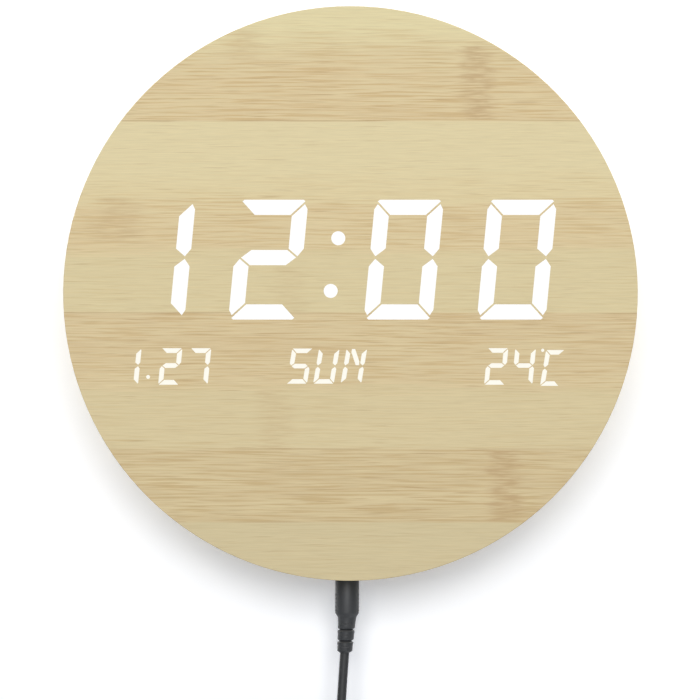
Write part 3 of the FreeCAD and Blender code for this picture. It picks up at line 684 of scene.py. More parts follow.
@dataclass(frozen=True)
class BambooEdge:
    """The veneer round the side: the grain runs round the case, and its lap joint is at the foot."""

    name: str = "bamboo_edge"
    middle: float = -0.082
    radius: float = 0.125
    front: float = -0.033
    strip_end: float = -0.017
    knuckle_places: tuple[float, ...] = (-0.27, -0.16, 0.05, 0.19, 0.31)

    def build(self) -> bpy.types.Material:
        """The material of the edge band."""
        material, sheet, shader, object_at = new_material(self.name)
        x, y, object_z = sheet.split(object_at)
        z = sheet.less(object_z, self.middle)
        round_it = sheet.times(sheet.math("ARCTAN2", x, z), self.radius)
        at = sheet.vector(round_it, y)
        fibre = Effects.place(sheet, Effects.bamboo_fibre(), Vector=at)
        strip = sheet.span(sheet.plus(y, sheet.sway(fibre.outputs["Cloud"], 0.002)), self.front, 0.0)
        colour = sheet.ramp(strip, [(0.0, srgb(216, 197, 154)), (0.46, srgb(217, 199, 156)),
                                    (0.48, srgb(206, 182, 140)), (0.50, srgb(222, 208, 165)),
                                    (1.0, srgb(219, 203, 160))])
        streaky = sheet.ramp(strip, [(0.46, (0.9, 0.9, 0.9, 1.0)), (0.5, (0.35, 0.35, 0.35, 1.0))])
        colour, relief = bamboo_colour(sheet, colour, streaky, fibre)
        for place in self.knuckle_places:
            mask = Knuckle(place, 0.012, self.front, self.strip_end, 0.45).mask(sheet, at)
            colour = sheet.mix(mask, colour, srgb(196, 167, 128))
        seam_gap = sheet.less(self.radius * math.pi, sheet.math("ABSOLUTE", round_it))
        seam = sheet.span(seam_gap, 0.0004, 0.0)
        colour = sheet.mix(sheet.times(seam, 0.7), colour, srgb(150, 120, 82))
        dust = Effects.place(sheet, Effects.dust(), Vector=object_at).outputs[0]
        colour = sheet.mix(sheet.times(dust, 0.10), colour, srgb(214, 210, 202))
        rough = sheet.span(fibre.outputs["Streak"], 0.2, 0.8, 0.50, 0.66)
        sheet.feed(shader, Base_Color=colour, Roughness=rough, Specular_IOR_Level=0.3)
        bump(sheet, shader, relief, 0.35, 0.00006)
        return material


@dataclass(frozen=True)
class LitWindow:
    """A stretch of thin veneer with the light on behind it: even white, a shade dimmer in its pores."""

    name: str
    colour: tuple[int, int, int]
    strength: float
    dimming: float = 0.985

    def build(self) -> bpy.types.Material:
        """The material of a lit segment."""
        material, sheet, shader, object_at = new_material(self.name)
        x, _, z = sheet.split(object_at)
        fibre = Effects.place(sheet, Effects.bamboo_fibre(), Vector=sheet.vector(x, z))
        dim = srgb(*(round(channel * self.dimming) for channel in self.colour))
        glow = sheet.mix(sheet.span(fibre.outputs["Streak"], 0.45, 0.20), srgb(*self.colour), dim)
        rough = sheet.span(fibre.outputs["Fibre"], 0.2, 0.8, 0.50, 0.64)
        sheet.feed(shader, Base_Color=(0.02, 0.02, 0.018, 1.0), Specular_IOR_Level=0.1, Emission_Color=glow,
                   Emission_Strength=self.strength, Roughness=rough)
        bump(sheet, shader, fibre.outputs["Streak"], 0.2, 0.00004)
        return material


@dataclass(frozen=True)
class MouldedPlastic:
    """A moulded or coated surface: spark texture, handled patches, worn edges and dust."""

    name: str
    colour: tuple[int, int, int]
    worn: tuple[int, int, int]
    roughness: float = 0.5
    texture: float = 1600.0
    depth: float = 0.00003
    wear: float = 0.35
    edge: float = 0.00035
    dust: float = 0.12
    coat: float = 0.0

    def build(self) -> bpy.types.Material:
        """The material of a moulded piece."""
        material, sheet, shader, object_at = new_material(self.name)
        grain = Effects.place(sheet, Effects.moulded_grain(), Vector=object_at, Scale=self.texture)
        patch = grain.outputs["Patch"]
        shade = sheet.grey(sheet.span(patch, 0.3, 0.7, 0.86, 1.14))
        colour = sheet.mix(1.0, srgb(*self.colour), shade, "MULTIPLY")
        wear = Effects.place(sheet, Effects.edge_wear(), Vector=object_at, Width=self.edge).outputs[0]
        colour = sheet.mix(sheet.times(wear, self.wear), colour, srgb(*self.worn))
        dust = Effects.place(sheet, Effects.dust(), Vector=object_at).outputs[0]
        colour = sheet.mix(sheet.times(dust, self.dust), colour, srgb(186, 182, 174))
        rough = sheet.span(patch, 0.3, 0.7, self.roughness - 0.07, self.roughness + 0.09)
        sheet.feed(shader, Base_Color=colour, Roughness=rough, Coat_Weight=self.coat)
        bump(sheet, shader, grain.outputs["Height"], 0.5, self.depth)
        return material


@dataclass(frozen=True)
class PlatedMetal:
    """Plated or drawn metal with fine brushing, faint stains and brighter edges."""

    name: str
    colour: tuple[int, int, int]
    roughness: float = 0.28
    brushing: tuple[float, float, float] = (300.0, 300.0, 6000.0)
    staining: float = 0.72

    def build(self) -> bpy.types.Material:
        """The material of a metal piece."""
        material, sheet, shader, object_at = new_material(self.name)
        lines = sheet.noise(sheet.stretch(object_at, self.brushing), 1.0, 3.0)
        stain = sheet.noise(object_at, 220.0, 5.0)
        stained = srgb(*(int(channel * self.staining) for channel in self.colour))
        colour = sheet.mix(sheet.span(stain, 0.45, 0.75, 0.0, 0.45), srgb(*self.colour), stained)
        wear = Effects.place(sheet, Effects.edge_wear(), Vector=object_at, Width=0.0002).outputs[0]
        colour = sheet.mix(sheet.times(wear, 0.6), colour, srgb(238, 238, 234))
        brushed = sheet.span(lines, 0.25, 0.75, self.roughness - 0.07, self.roughness + 0.07)
        rough = sheet.plus(brushed, sheet.span(stain, 0.4, 0.8, 0.0, 0.12))
        sheet.feed(shader, Base_Color=colour, Metallic=1.0, Roughness=rough)
        bump(sheet, shader, lines, 0.25, 0.00002)
        return material


@dataclass(frozen=True)
class Fibreboard:
    """Raw sawn fibreboard: pressed brown fibres with pale flecks."""

    name: str = "fibreboard"

    def build(self) -> bpy.types.Material:
        """The material of the case's inner wood."""
        material, sheet, shader, object_at = new_material(self.name)
        fleck = sheet.add("TexVoronoi", Vector=object_at, Scale=1400.0).outputs["Distance"]
        fuzz = sheet.noise(object_at, 900.0, 6.0)
        cloud = sheet.noise(object_at, 60.0, 4.0)
        colour = sheet.mix(sheet.span(fuzz, 0.3, 0.7), srgb(150, 116, 78), srgb(188, 154, 112))
        colour = sheet.mix(sheet.span(fleck, 0.25, 0.05, 0.0, 0.5), colour, srgb(206, 180, 140))
        colour = sheet.mix(sheet.span(cloud, 0.4, 0.7, 0.0, 0.35), colour, srgb(128, 96, 62))
        sheet.feed(shader, Base_Color=colour, Roughness=sheet.span(fuzz, 0.2, 0.8, 0.78, 0.95))
        bump(sheet, shader, sheet.plus(fuzz, fleck), 0.6, 0.00008)
        return material


@dataclass(frozen=True)
class CircuitBoard:
    """Green solder mask over copper tracks and pads."""

    name: str = "circuit_board"

    def build(self) -> bpy.types.Material:
        """The material of both boards."""
        material, sheet, shader, object_at = new_material(self.name)
        x, _, z = sheet.split(object_at)
        flat = sheet.vector(x, z)
        tracks = sheet.add("TexBrick", Vector=flat, Scale=260.0, offset=0.37, Mortar_Size=0.09).outputs["Fac"]
        cells = sheet.add("TexVoronoi", Vector=flat, Scale=190.0).outputs["Distance"]
        vias = sheet.span(cells, 0.16, 0.12)
        fuzz = sheet.noise(object_at, 800.0, 3.0)
        colour = sheet.mix(sheet.times(tracks, 0.55), srgb(18, 84, 46), srgb(38, 120, 66))
        colour = sheet.mix(vias, colour, srgb(196, 190, 170))
        colour = sheet.mix(sheet.span(fuzz, 0.3, 0.7, 0.0, 0.15), colour, srgb(12, 60, 34))
        rough = sheet.span(fuzz, 0.3, 0.7, 0.22, 0.34)
        sheet.feed(shader, Base_Color=colour, Roughness=rough, Metallic=sheet.times(vias, 0.8))
        bump(sheet, shader, sheet.plus(tracks, vias), 0.4, 0.00004)
        return material


@dataclass(frozen=True)
class WovenStrap:
    """Black hook-and-loop tape: a fuzzy weave of fine ribs."""

    name: str = "woven_strap"

    def build(self) -> bpy.types.Material:
        """The material of the cord tie."""
        material, sheet, shader, object_at = new_material(self.name)
        x, y, z = sheet.split(object_at)
        across = sheet.math("SINE", sheet.times(z, 9000.0))
        along = sheet.math("SINE", sheet.times(sheet.plus(x, y), 8000.0))
        weave = sheet.times(across, along)
        fuzz = sheet.noise(object_at, 3200.0, 4.0)
        height = sheet.plus(sheet.times(weave, 0.5), fuzz)
        colour = sheet.mix(sheet.span(height, 0.0, 1.2), srgb(18, 18, 20), srgb(58, 58, 60))
        rough = sheet.span(fuzz, 0.2, 0.8, 0.75, 0.95)
        sheet.feed(shader, Base_Color=colour, Roughness=rough, Sheen_Weight=0.35)
        bump(sheet, shader, height, 0.8, 0.00015)
        return material


@dataclass(frozen=True)
class CordSkin:
    """Extruded vinyl: satin, with faint lengthwise die marks and a few scuffs."""

    name: str = "cord_skin"

    def build(self) -> bpy.types.Material:
        """The material of the cord."""
        material, sheet, shader, object_at = new_material(self.name)
        marks = sheet.noise(sheet.stretch(object_at, (2600.0, 2600.0, 260.0)), 1.0, 2.0)
        scuff = sheet.span(sheet.noise(object_at, 520.0, 5.0), 0.58, 0.75)
        colour = sheet.mix(sheet.span(marks, 0.3, 0.7), srgb(36, 37, 39), srgb(44, 46, 48))
        colour = sheet.mix(sheet.times(scuff, 0.4), colour, srgb(78, 80, 82))
        rough = sheet.plus(sheet.span(marks, 0.3, 0.7, 0.56, 0.66), sheet.times(scuff, 0.15))
        sheet.feed(shader, Base_Color=colour, Roughness=rough)
        bump(sheet, shader, marks, 0.3, 0.00003)
        return material


BLACK_WORN = (92, 92, 94)
FINISHES: dict[str, object] = {
    "bamboo_face": BambooFace(),
    "bamboo_edge": BambooEdge(),
    "lit": LitWindow("lit_white", (255, 255, 255), 1.0),
    "lit_warm": LitWindow("lit_warm_white", (255, 252, 240), 0.97),
    "fibreboard": Fibreboard(),
    "board": CircuitBoard(),
    "strap": WovenStrap(),
    "cord": CordSkin(),
    "cover": MouldedPlastic("cover_plastic", (40, 40, 42), BLACK_WORN, 0.58, 1500.0, 0.00005),
    "rib": MouldedPlastic("rib_plastic", (50, 50, 52), BLACK_WORN, 0.46, 2600.0, 0.00002),
    "button": MouldedPlastic("button_plastic", (78, 79, 82), (128, 128, 130), 0.42, 3200.0, 0.00002),
    "black": MouldedPlastic("black_plastic", (34, 34, 36), BLACK_WORN, 0.45, 2600.0, 0.00002),
    "plug": MouldedPlastic("plug_vinyl", (47, 49, 52), (80, 82, 84), 0.48, 2200.0, 0.00003, wear=0.2),
    "rubber": MouldedPlastic("bumper_rubber", (58, 58, 60), (84, 84, 86), 0.8, 2400.0, 0.00006, wear=0.2),
    "white": MouldedPlastic("white_plastic", (232, 231, 226), (244, 244, 240), 0.5, 2000.0, 0.00002),
    "film": MouldedPlastic("milky_film", (236, 236, 232), (246, 246, 244), 0.4, 5200.0, 0.00001, wear=0.1),
    "led": MouldedPlastic("led_package", (240, 226, 120), (250, 248, 230), 0.3, 6000.0, 0.00001, coat=0.5),
    "chip": MouldedPlastic("chip_epoxy", (38, 38, 40), (78, 78, 80), 0.55, 5200.0, 0.00002),
    "bead": MouldedPlastic("sensor_bead", (92, 52, 24), (130, 84, 48), 0.2, 3200.0, 0.00001, coat=0.6),
    "wire": MouldedPlastic("wire_red", (150, 26, 24), (186, 70, 62), 0.4, 2600.0, 0.00001, wear=0.1),
    "bright": PlatedMetal("bright_metal", (206, 206, 203)),
    "zinc": PlatedMetal("zinc_plate", (192, 196, 196), 0.34, (2600.0, 2600.0, 2600.0)),
    "can": PlatedMetal("drawn_can", (206, 208, 212), 0.3, (400.0, 8000.0, 400.0)),
    "gold": PlatedMetal("gilt_contact", (222, 190, 112), 0.25),
    "black_screw": PlatedMetal("black_oxide", (70, 70, 72), 0.38, (2600.0, 2600.0, 2600.0)),
}


class Wardrobe:
    """Builds each finish once and puts it on pieces."""

    made: dict[str, bpy.types.Material] = {}

    @classmethod
    def material(cls, name: str) -> bpy.types.Material:
        """The material of a finish, built on its first use."""
        if name not in cls.made:
            cls.made[name] = FINISHES[name].build()
        return cls.made[name]

    @classmethod
    def dress(cls, piece: bpy.types.Object, finish: str) -> None:
        """Gives a piece one material all over."""
        piece.data.materials.clear()
        piece.data.materials.append(cls.material(finish))

    @classmethod
    def dress_node(cls, node: str, finish: str) -> None:
        """Gives a carried-over node a material in its own slots."""
        item = NODES[node]
        if not item.material_slots:
            item.data.materials.append(cls.material(finish))
        for place in item.material_slots:
            place.material = cls.material(finish)
        log.info("%s wears %s", node, finish)


def hand_over(piece: bpy.types.Object, body: Body, slot: str, finish: str, *stands_for: str) -> None:
    """Dresses a new piece, puts it on its body and hides the nodes that it stands for.

    Args:
        piece: the finished piece.
        body: the body it rides on.
        slot: the record's material slot; not used.
        finish: its entry in FINISHES.
        stands_for: the nodes that it replaces.
    """
    Wardrobe.dress(piece, finish)
    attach(piece, body.value)
    if stands_for:
        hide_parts(*stands_for)
    log.info("%s: %d faces on %s", piece.name, len(getattr(piece.data, "polygons", [])), body.value)


# ------------------------------------------------------------------ the clock's own pieces
@dataclass
class Viewpoint:
    """The camera, level with a point a little below the face's middle."""

    x: float = -0.0002
    z: float = -0.1066
    distance: float = 1.3
    width_at_face: float = 0.3044
    sensor: float = 36.0

    def build(self) -> None:
        """Adds the camera and makes it the scene's."""
        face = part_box("face_veneer")[0][1]
        data = bpy.data.cameras.new("viewpoint")
        data.sensor_width = self.sensor
        data.lens = self.sensor * self.distance / self.width_at_face
        camera = bpy.data.objects.new("viewpoint", data)
        camera.location = (self.x, face - self.distance, self.z)
        camera.rotation_euler = (math.pi / 2, 0.0, 0.0)
        bpy.context.collection.objects.link(camera)
        bpy.context.scene.camera = camera
        log.info("camera %.2f m away, lens %.0f mm", self.distance, data.lens)


@dataclass
class PowerCord:
    """The lead's cord: a short free run, nine wound turns under a tie, and the tail to the far plug."""

    exit: Vector = field(default_factory=lambda: Vector((-0.00253, -0.01550, -0.23957)))
    diameter: float = 0.004
    length: float = 1.46
    coil_radius: float = 0.024
    pitch: float = 0.0041
    points_per_turn: int = 24
    lead: tuple[tuple[float, float, float], ...] = (
        (0.0, 0.0, 0.0), (-0.0013, -0.0012, -0.0180), (-0.0022, -0.0034, -0.0370), (-0.0024, -0.0062, -0.0560))
    tail: tuple[tuple[float, float, float], ...] = (
        (-0.0024, 0.0102, -0.0560), (-0.0028, 0.0092, -0.0720), (-0.0022, 0.0070, -0.0880))
    lay: tuple[tuple[float, float], ...] = (
        (0.5, -2.0), (-0.5, -2.0), (-0.5, -1.0), (0.5, -1.0), (0.5, 0.0), (-0.5, 0.0), (-0.5, 1.0), (0.5, 1.0),
        (0.5, 2.0))

    def turn_points(self) -> list[Vector]:
        """The coil's points, turn after turn, each lying beside the one before.

        The step from one turn to the next is made where the tie hides it.
        """
        first = self.exit + Vector(self.lead[-1])
        last = self.exit + Vector(self.tail[0])
        outer = self.coil_radius + self.pitch / 2
        middle = Vector((first.x - outer, (first.y + last.y) / 2, first.z))
        swell = 1.0 / (0.75 + 0.25 * math.cos(2 * math.pi / self.points_per_turn))
        points = []
        for turn, (layer, column) in enumerate(self.lay):
            for step in range(self.points_per_turn):
                share = {0: 0.5, self.points_per_turn - 1: 0.75, 1: 0.25}.get(step, 0.0)
                other = self.lay[max(turn - 1, 0)]
                if step == self.points_per_turn - 1:
                    other = self.lay[min(turn + 1, len(self.lay) - 1)]
                    share = 0.25
                here_layer = layer * (1 - share) + other[0] * share
                here_column = column * (1 - share) + other[1] * share
                angle = 2 * math.pi * step / self.points_per_turn
                radius = (self.coil_radius + here_layer * self.pitch) * swell
                points.append(middle + Vector((radius * math.cos(angle), here_column * self.pitch,
                                               -radius * math.sin(angle))))
        return points

    def build(self) -> bpy.types.Object:
        """The cord as one smooth curve."""
        route = [self.exit + Vector(step) for step in self.lead[:-1]]
        route += self.turn_points()
        route += [self.exit + Vector(step) for step in self.tail]
        data = bpy.data.curves.new("power_cord_run", "CURVE")
        data.dimensions = "3D"
        data.bevel_depth = self.diameter / 2
        data.bevel_resolution = 6
        data.resolution_u = 6
        data.use_fill_caps = True
        spline = data.splines.new("NURBS")
        spline.points.add(len(route) - 1)
        for point, place in zip(spline.points, route):
            point.co = (*place, 1.0)
        spline.order_u = 3
        spline.use_endpoint_u = True
        cord = bpy.data.objects.new("power_cord_run", data)
        bpy.context.collection.objects.link(cord)
        return cord


@dataclass
class Plug:
    """The moulded plug under the clock: a gripped body and a leaning strain relief of soft rings.

    Radii and pitches that shrink or repeat from ring to ring are in millimetres, the rest in metres.
    """

    bore: float = 2.9 * MM
    shoulder_drop: float = 19.2 * MM
    taper: float = 1.6 * MM
    sections: int = 3
    ring_wide: float = 4.05
    ring_slim: float = 3.8
    ring_shrink: float = 0.22
    slot_floor: float = 3.15
    slot_half: Vector = field(default_factory=lambda: Vector((2.6, 0.0, 0.22)) * MM)
    slot_reach: float = 6.0 * MM
    grip_count: int = 5
    grip_start: float = 1.6
    grip_pitch: float = 1.75
    grip_half_depth: float = 2.1 * MM
    grip_half_height: float = 0.28 * MM
    lean: float = math.tan(math.radians(3.9))

    def build(self) -> bpy.types.Object:
        """Turns the body and relief in one piece, then adds grips on two sides."""
        low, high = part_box("plug_body")
        barrel_low, barrel_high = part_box("plug_barrel")
        axis = Vector(((barrel_low[0] + barrel_high[0]) / 2, (barrel_low[1] + barrel_high[1]) / 2, 0.0))
        top, foot = high[2], low[2]
        radius = high[0] - axis.x
        shoulder = top - self.shoulder_drop
        taper_end = shoulder - self.taper
        pitch = (taper_end - foot) / self.sections
        profile = [(top, self.bore)]
        profile += rings_from(top, radius, [(0.0, -0.8), (-0.3, -0.3), (-0.8, 0.0)])
        profile += rings_from(shoulder, radius, [(0.9, 0.0), (0.3, -0.12), (-0.3, -0.45)])
        profile += rings_from(taper_end, 0.0, [(0.5, 4.25), (0.0, 4.1)])
        for index in range(self.sections):
            start = taper_end - pitch * index
            end = start - pitch
            wide = (self.ring_wide - self.ring_shrink * index) * MM
            slim = (self.ring_slim - self.ring_shrink * index) * MM
            if index:
                profile += rings_from(start, slim, [(-0.2, -0.75)])
                profile += rings_from(start, wide, [(-0.5, -0.2), (-0.8, 0.0)])
            profile.append((start - 0.45 * pitch, slim + 0.05 * MM))
            profile += rings_from(end, slim, [(0.7, 0.0), (0.4, -0.2), (0.15, -0.75)])
        profile += rings_from(foot, 0.0, [(0.0, 2.6), (0.0, 2.05)])
        body = Bench.turned("plug_overmould", profile, axis, Axis.UP, 64,
                            lambda z: min(0.0, z - taper_end) * self.lean)
        parts = [body]
        reach = radius * 0.985
        for side in (-1, 1):
            x0, x1 = sorted((axis.x + side * (reach - 1.2 * MM), axis.x + side * (reach + 0.12 * MM)))
            for index in range(self.grip_count):
                z = shoulder + (self.grip_start + self.grip_pitch * index) * MM
                low_corner = Vector((x0, axis.y - self.grip_half_depth, z - self.grip_half_height))
                high_corner = Vector((x1, axis.y + self.grip_half_depth, z + self.grip_half_height))
                parts.append(Bench.block(f"grip_{side}_{index}", low_corner, high_corner, 0.2 * MM, 2))
        Bench.settle(body, 40.0)
        for index in range(self.sections):
            z = taper_end - pitch * (index + 0.5)
            middle = Vector((axis.x + (z - taper_end) * self.lean, axis.y, z))
            floor = (self.slot_floor - self.ring_shrink * index) * MM
            for side in (-1, 1):
                y0, y1 = sorted((side * floor, side * self.slot_reach))
                low_corner = middle - self.slot_half + Vector((0.0, y0, 0.0))
                high_corner = middle + self.slot_half + Vector((0.0, y1, 0.0))
                Bench.cut(body, Bench.block("flex_slot", low_corner, high_corner, 0.12 * MM, 2))
        plug = Bench.join("plug_overmould", parts)
        Bench.settle(plug, 40.0)
        hand_over(plug, Body.LEAD, "plug_vinyl", "plug", "plug_body")
        return plug


@dataclass
class FarPlug:
    """The plug on the cord's far end: a pinched moulded body with a ringed relief.

    Places and radii that change from ring to ring or groove to groove are in millimetres.
    """

    relief: float = 10.0 * MM
    relief_rings: int = 3
    ring_start: float = 1.6
    ring_pitch: float = 2.7
    ring_radius: float = 3.3
    ring_shrink: float = 0.24
    pinch: float = 0.10
    shoulder: float = 0.86
    grooves: int = 5
    groove_start: float = 8.0
    groove_pitch: float = 2.4
    groove_half_width: float = 3.3 * MM
    groove_half_height: float = 0.45 * MM
    groove_depth: float = 0.45 * MM

    def build(self) -> bpy.types.Object:
        """Shapes the moulded body and its relief."""
        low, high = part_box("usb_plug_body")
        middle = (Vector(low) + Vector(high)) / 2
        top = high[2] - self.relief
        body = Bench.block("usb_overmould", Vector(low), Vector((high[0], high[1], top)), 0.0)
        Bench.edit()
        bpy.ops.mesh.subdivide(number_cuts=3)
        bpy.ops.object.mode_set(mode="OBJECT")
        for vertex in body.data.vertices:
            place = body.matrix_world @ vertex.co
            share = (place.z - low[2]) / (top - low[2])
            pinch = 1.0 - self.pinch * math.sin(math.pi * min(1.0, share * 1.15))
            if share > 0.97:
                pinch *= self.shoulder
            vertex.co.x = (place.x - middle.x) * pinch + middle.x - body.location.x
        Bench.modifier(body, "BEVEL", width=1.6 * MM, segments=3, limit_method="ANGLE")
        Bench.modifier(body, "SUBSURF", levels=1, render_levels=1)
        profile = rings_from(top, 0.0, [(-0.8, 3.3), (0.6, 3.6), (1.1, 3.2)])
        for index in range(self.relief_rings):
            start = top + (self.ring_start + self.ring_pitch * index) * MM
            radius = (self.ring_radius - self.ring_shrink * index) * MM
            profile += rings_from(start, radius, [(0.0, -0.55), (0.3, 0.0), (1.5, -0.05), (1.8, -0.6)])
        profile += rings_from(high[2], 0.0, [(-0.1, 2.4), (0.0, 2.1)])
        neck = Bench.turned("usb_relief", profile, Vector((middle.x, middle.y, 0.0)), Axis.UP, 40)
        for side in (-1, 1):
            face_y = middle.y + side * (high[1] - low[1]) / 2
            y0, y1 = sorted((face_y - side * self.groove_depth, face_y + side * 0.8 * MM))
            for index in range(self.grooves):
                z = low[2] + (self.groove_start + self.groove_pitch * index) * MM
                low_corner = Vector((middle.x - self.groove_half_width, y0, z - self.groove_half_height))
                high_corner = Vector((middle.x + self.groove_half_width, y1, z + self.groove_half_height))
                Bench.cut(body, Bench.block("grip_groove", low_corner, high_corner, 0.3 * MM, 2))
        plug = Bench.join("usb_overmould", [body, neck])
        Bench.settle(plug, 40.0)
        hand_over(plug, Body.LEAD, "plug_vinyl", "plug", "usb_plug_body")
        return plug


@dataclass
class CordTie:
    """A short hook-and-loop strap round the turns, with its free end lapped over."""

    thickness: float = 0.0009

    def build(self) -> bpy.types.Object:
        """A rounded band with a lapped end."""
        low, high = map(Vector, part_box("cord_tie"))
        band = Bench.block("cord_strap", low, high, 0.0)
        Bench.edit()
        Bench.pick_faces(band, lambda polygon: abs(polygon.normal.z) > 0.9)
        bpy.ops.mesh.delete(type="FACE")
        Bench.edit()
        bpy.ops.mesh.select_mode(type="EDGE")
        bpy.ops.mesh.bevel(offset=2.9 * MM, segments=8, affect="EDGES")
        bpy.ops.mesh.select_all(action="SELECT")
        bpy.ops.object.mode_set(mode="OBJECT")
        Bench.modifier(band, "SOLIDIFY", thickness=self.thickness, offset=-1.0)
        lap = Bench.block("strap_end", Vector((low.x + 2.6 * MM, low.y - 0.75 * MM, low.z + 0.3 * MM)),
                          Vector((high.x - 3.4 * MM, low.y + 0.1 * MM, high.z - 0.3 * MM)), 0.3 * MM, 2)
        strap = Bench.join("cord_strap", [band, lap])
        Bench.settle(strap, 40.0)
        hand_over(strap, Body.LEAD, "tie_strap", "strap", "cord_tie")
        return strap


@dataclass
class RearControls:
    """What is pressed, slid or turned on the back, and the raised marks beside it."""

    mark_height: float = 0.00025
    mark_drop: float = 0.0085
    mark_sink: float = 0.0001
    mark_bevel: float = 0.08 * MM
    stop_mark: float = 0.8 * MM
    cap_radius: float = 3.5 * MM
    ridges: int = 3
    lug_radius: float = 9.8 * MM
    lug_top: float = -2.0 * MM
    neck_radius: float = 8.4 * MM
    slot_half_length: float = 7.0 * MM

    def build(self) -> None:
        """Builds every control and mark."""
        for key, body in (("set", Body.SET), ("up", Body.UP), ("down", Body.DOWN)):
            self.button(key, body)
        self.knob()
        self.battery_door()
        self.marks()

    def button(self, key: str, body: Body) -> None:
        """A button cap with a dished crown and a flange behind the cover."""
        low, high = map(Vector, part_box(f"button_{key}"))
        centre = middle_of(low, high)
        flange, cap = (high.x - low.x) / 2, self.cap_radius
        rings = rings_from(low.y, flange, [(0.0, 0.0), (0.8, 0.0)]) + rings_from(low.y, cap, [(0.8, 0.0)])
        rings += rings_from(high.y, cap, [(-0.5, 0.0), (-0.28, -0.07), (-0.1, -0.25), (0.0, -0.55), (-0.04, -0.8),
                                          (-0.16, -1.3)])
        rings += rings_from(high.y, 0.0, [(-0.25, 1.1), (-0.28, 0.3)])
        piece = Bench.turned(f"cap_{key}", rings, centre, Axis.DEPTH, 56)
        Bench.settle(piece, 30.0)
        hand_over(piece, body, "button_plastic", "button", f"button_{key}")

    def knob(self) -> None:
        """The slide switch's knob, with three grip ridges on its end."""
        low, high = map(Vector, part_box("sound_switch_knob"))
        stem = Bench.block("slide_knob", low, Vector((high.x, high.y - 0.35 * MM, high.z)), 0.12 * MM, 2)
        parts = [stem]
        pitch = (high.x - low.x) / self.ridges
        for index in range(self.ridges):
            x = low.x + pitch * (index + 0.5)
            low_corner = Vector((x - 0.18 * MM, high.y - 0.6 * MM, low.z + 0.05 * MM))
            high_corner = Vector((x + 0.18 * MM, high.y, high.z - 0.05 * MM))
            parts.append(Bench.block(f"ridge_{index}", low_corner, high_corner, 0.1 * MM, 2))
        piece = Bench.join("slide_knob", parts)
        Bench.settle(piece)
        hand_over(piece, Body.SOUND, "black_plastic", "button", "sound_switch_knob")

    def battery_door(self) -> None:
        """The twist-off door: a coin slot in a sunk panel, and a pointer at its rim."""
        low, high = map(Vector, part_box("battery_door"))
        centre = middle_of(low, high)
        radius = (high.x - low.x) / 2
        rings = [(low.y, self.neck_radius), (low.y, self.lug_radius), (self.lug_top, self.lug_radius),
                 (self.lug_top, radius)]
        rings += rings_from(0.0, radius, [(-0.4, 0.0), (-0.12, -0.12), (0.0, -0.4), (0.0, -1.9), (-0.1, -2.1),
                                          (-0.35, -2.25)])
        rings += rings_from(0.0, 0.0, [(-0.35, 1.0)])
        door = Bench.turned("twist_door", rings, centre, Axis.DEPTH, 96)
        Bench.settle(door, 30.0)
        slot = Bench.block("coin_slot", centre + Vector((-self.slot_half_length, -1.2 * MM, -1.0 * MM)),
                           centre + Vector((self.slot_half_length, 1.0 * MM, 1.0 * MM)), 0.95 * MM, 4)
        Bench.cut(door, slot)
        pointer = Bench.prism("door_pointer", 3, 1.0 * MM, centre + Vector((0.0, -0.05 * MM, radius - 1.25 * MM)),
                              0.2 * MM, 0.0, self.mark_bevel)
        door = Bench.join("twist_door", [door, pointer])
        Bench.settle(door, 30.0)
        hand_over(door, Body.BATTERY, "cover_plastic", "cover", "battery_door")

    def marks(self) -> None:
        """Raised signs on the cover: a ring, two arrows, two switch marks and the door's two stops."""
        height = self.mark_height + self.mark_sink

        def under(node: str) -> Vector:
            """The point in the cover below a control."""
            return middle_of(*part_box(node), -self.mark_sink) - Vector((0.0, 0.0, self.mark_drop))

        def stop(name: str, corners: int, place: Vector) -> bpy.types.Object:
            """A dot or a square that marks one end of a travel."""
            return Bench.prism(name, corners, self.stop_mark, place, height, math.pi / 4, self.mark_bevel)

        ring = Bench.prism("mark_set", 32, 1.5 * MM, under("button_set"), height, 0.0, self.mark_bevel)
        hole = Bench.prism("mark_hole", 32, 0.85 * MM, under("button_set") - Vector((0.0, MM, 0.0)), 3 * MM)
        Bench.settle(ring)
        Bench.settle(hole)
        Bench.cut(ring, hole)
        made = [ring]
        for node, turn in (("button_up", 0.0), ("button_down", math.pi)):
            made.append(Bench.prism(f"mark_{node}", 3, 1.7 * MM, under(node), height, turn, self.mark_bevel))
        spot = under("sound_switch_body")
        for side, corners in ((-1, 24), (1, 4)):
            made.append(stop(f"mark_sound_{side}", corners, spot + Vector((side * 2.4 * MM, 0.0, 0.0))))
        low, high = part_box("battery_door")
        middle = middle_of(low, high, -self.mark_sink)
        reach = (high[0] - low[0]) / 2 + 2.2 * MM
        for angle_deg, corners in ((90.0, 24), (60.0, 4)):
            angle = math.radians(angle_deg)
            place = middle + Vector((math.cos(angle), 0.0, math.sin(angle))) * reach
            made.append(stop(f"mark_door_{corners}", corners, place))
        piece = Bench.join("cover_marks", made)
        Bench.settle(piece, 30.0)
        hand_over(piece, Body.CLOCK, "cover_plastic", "button")


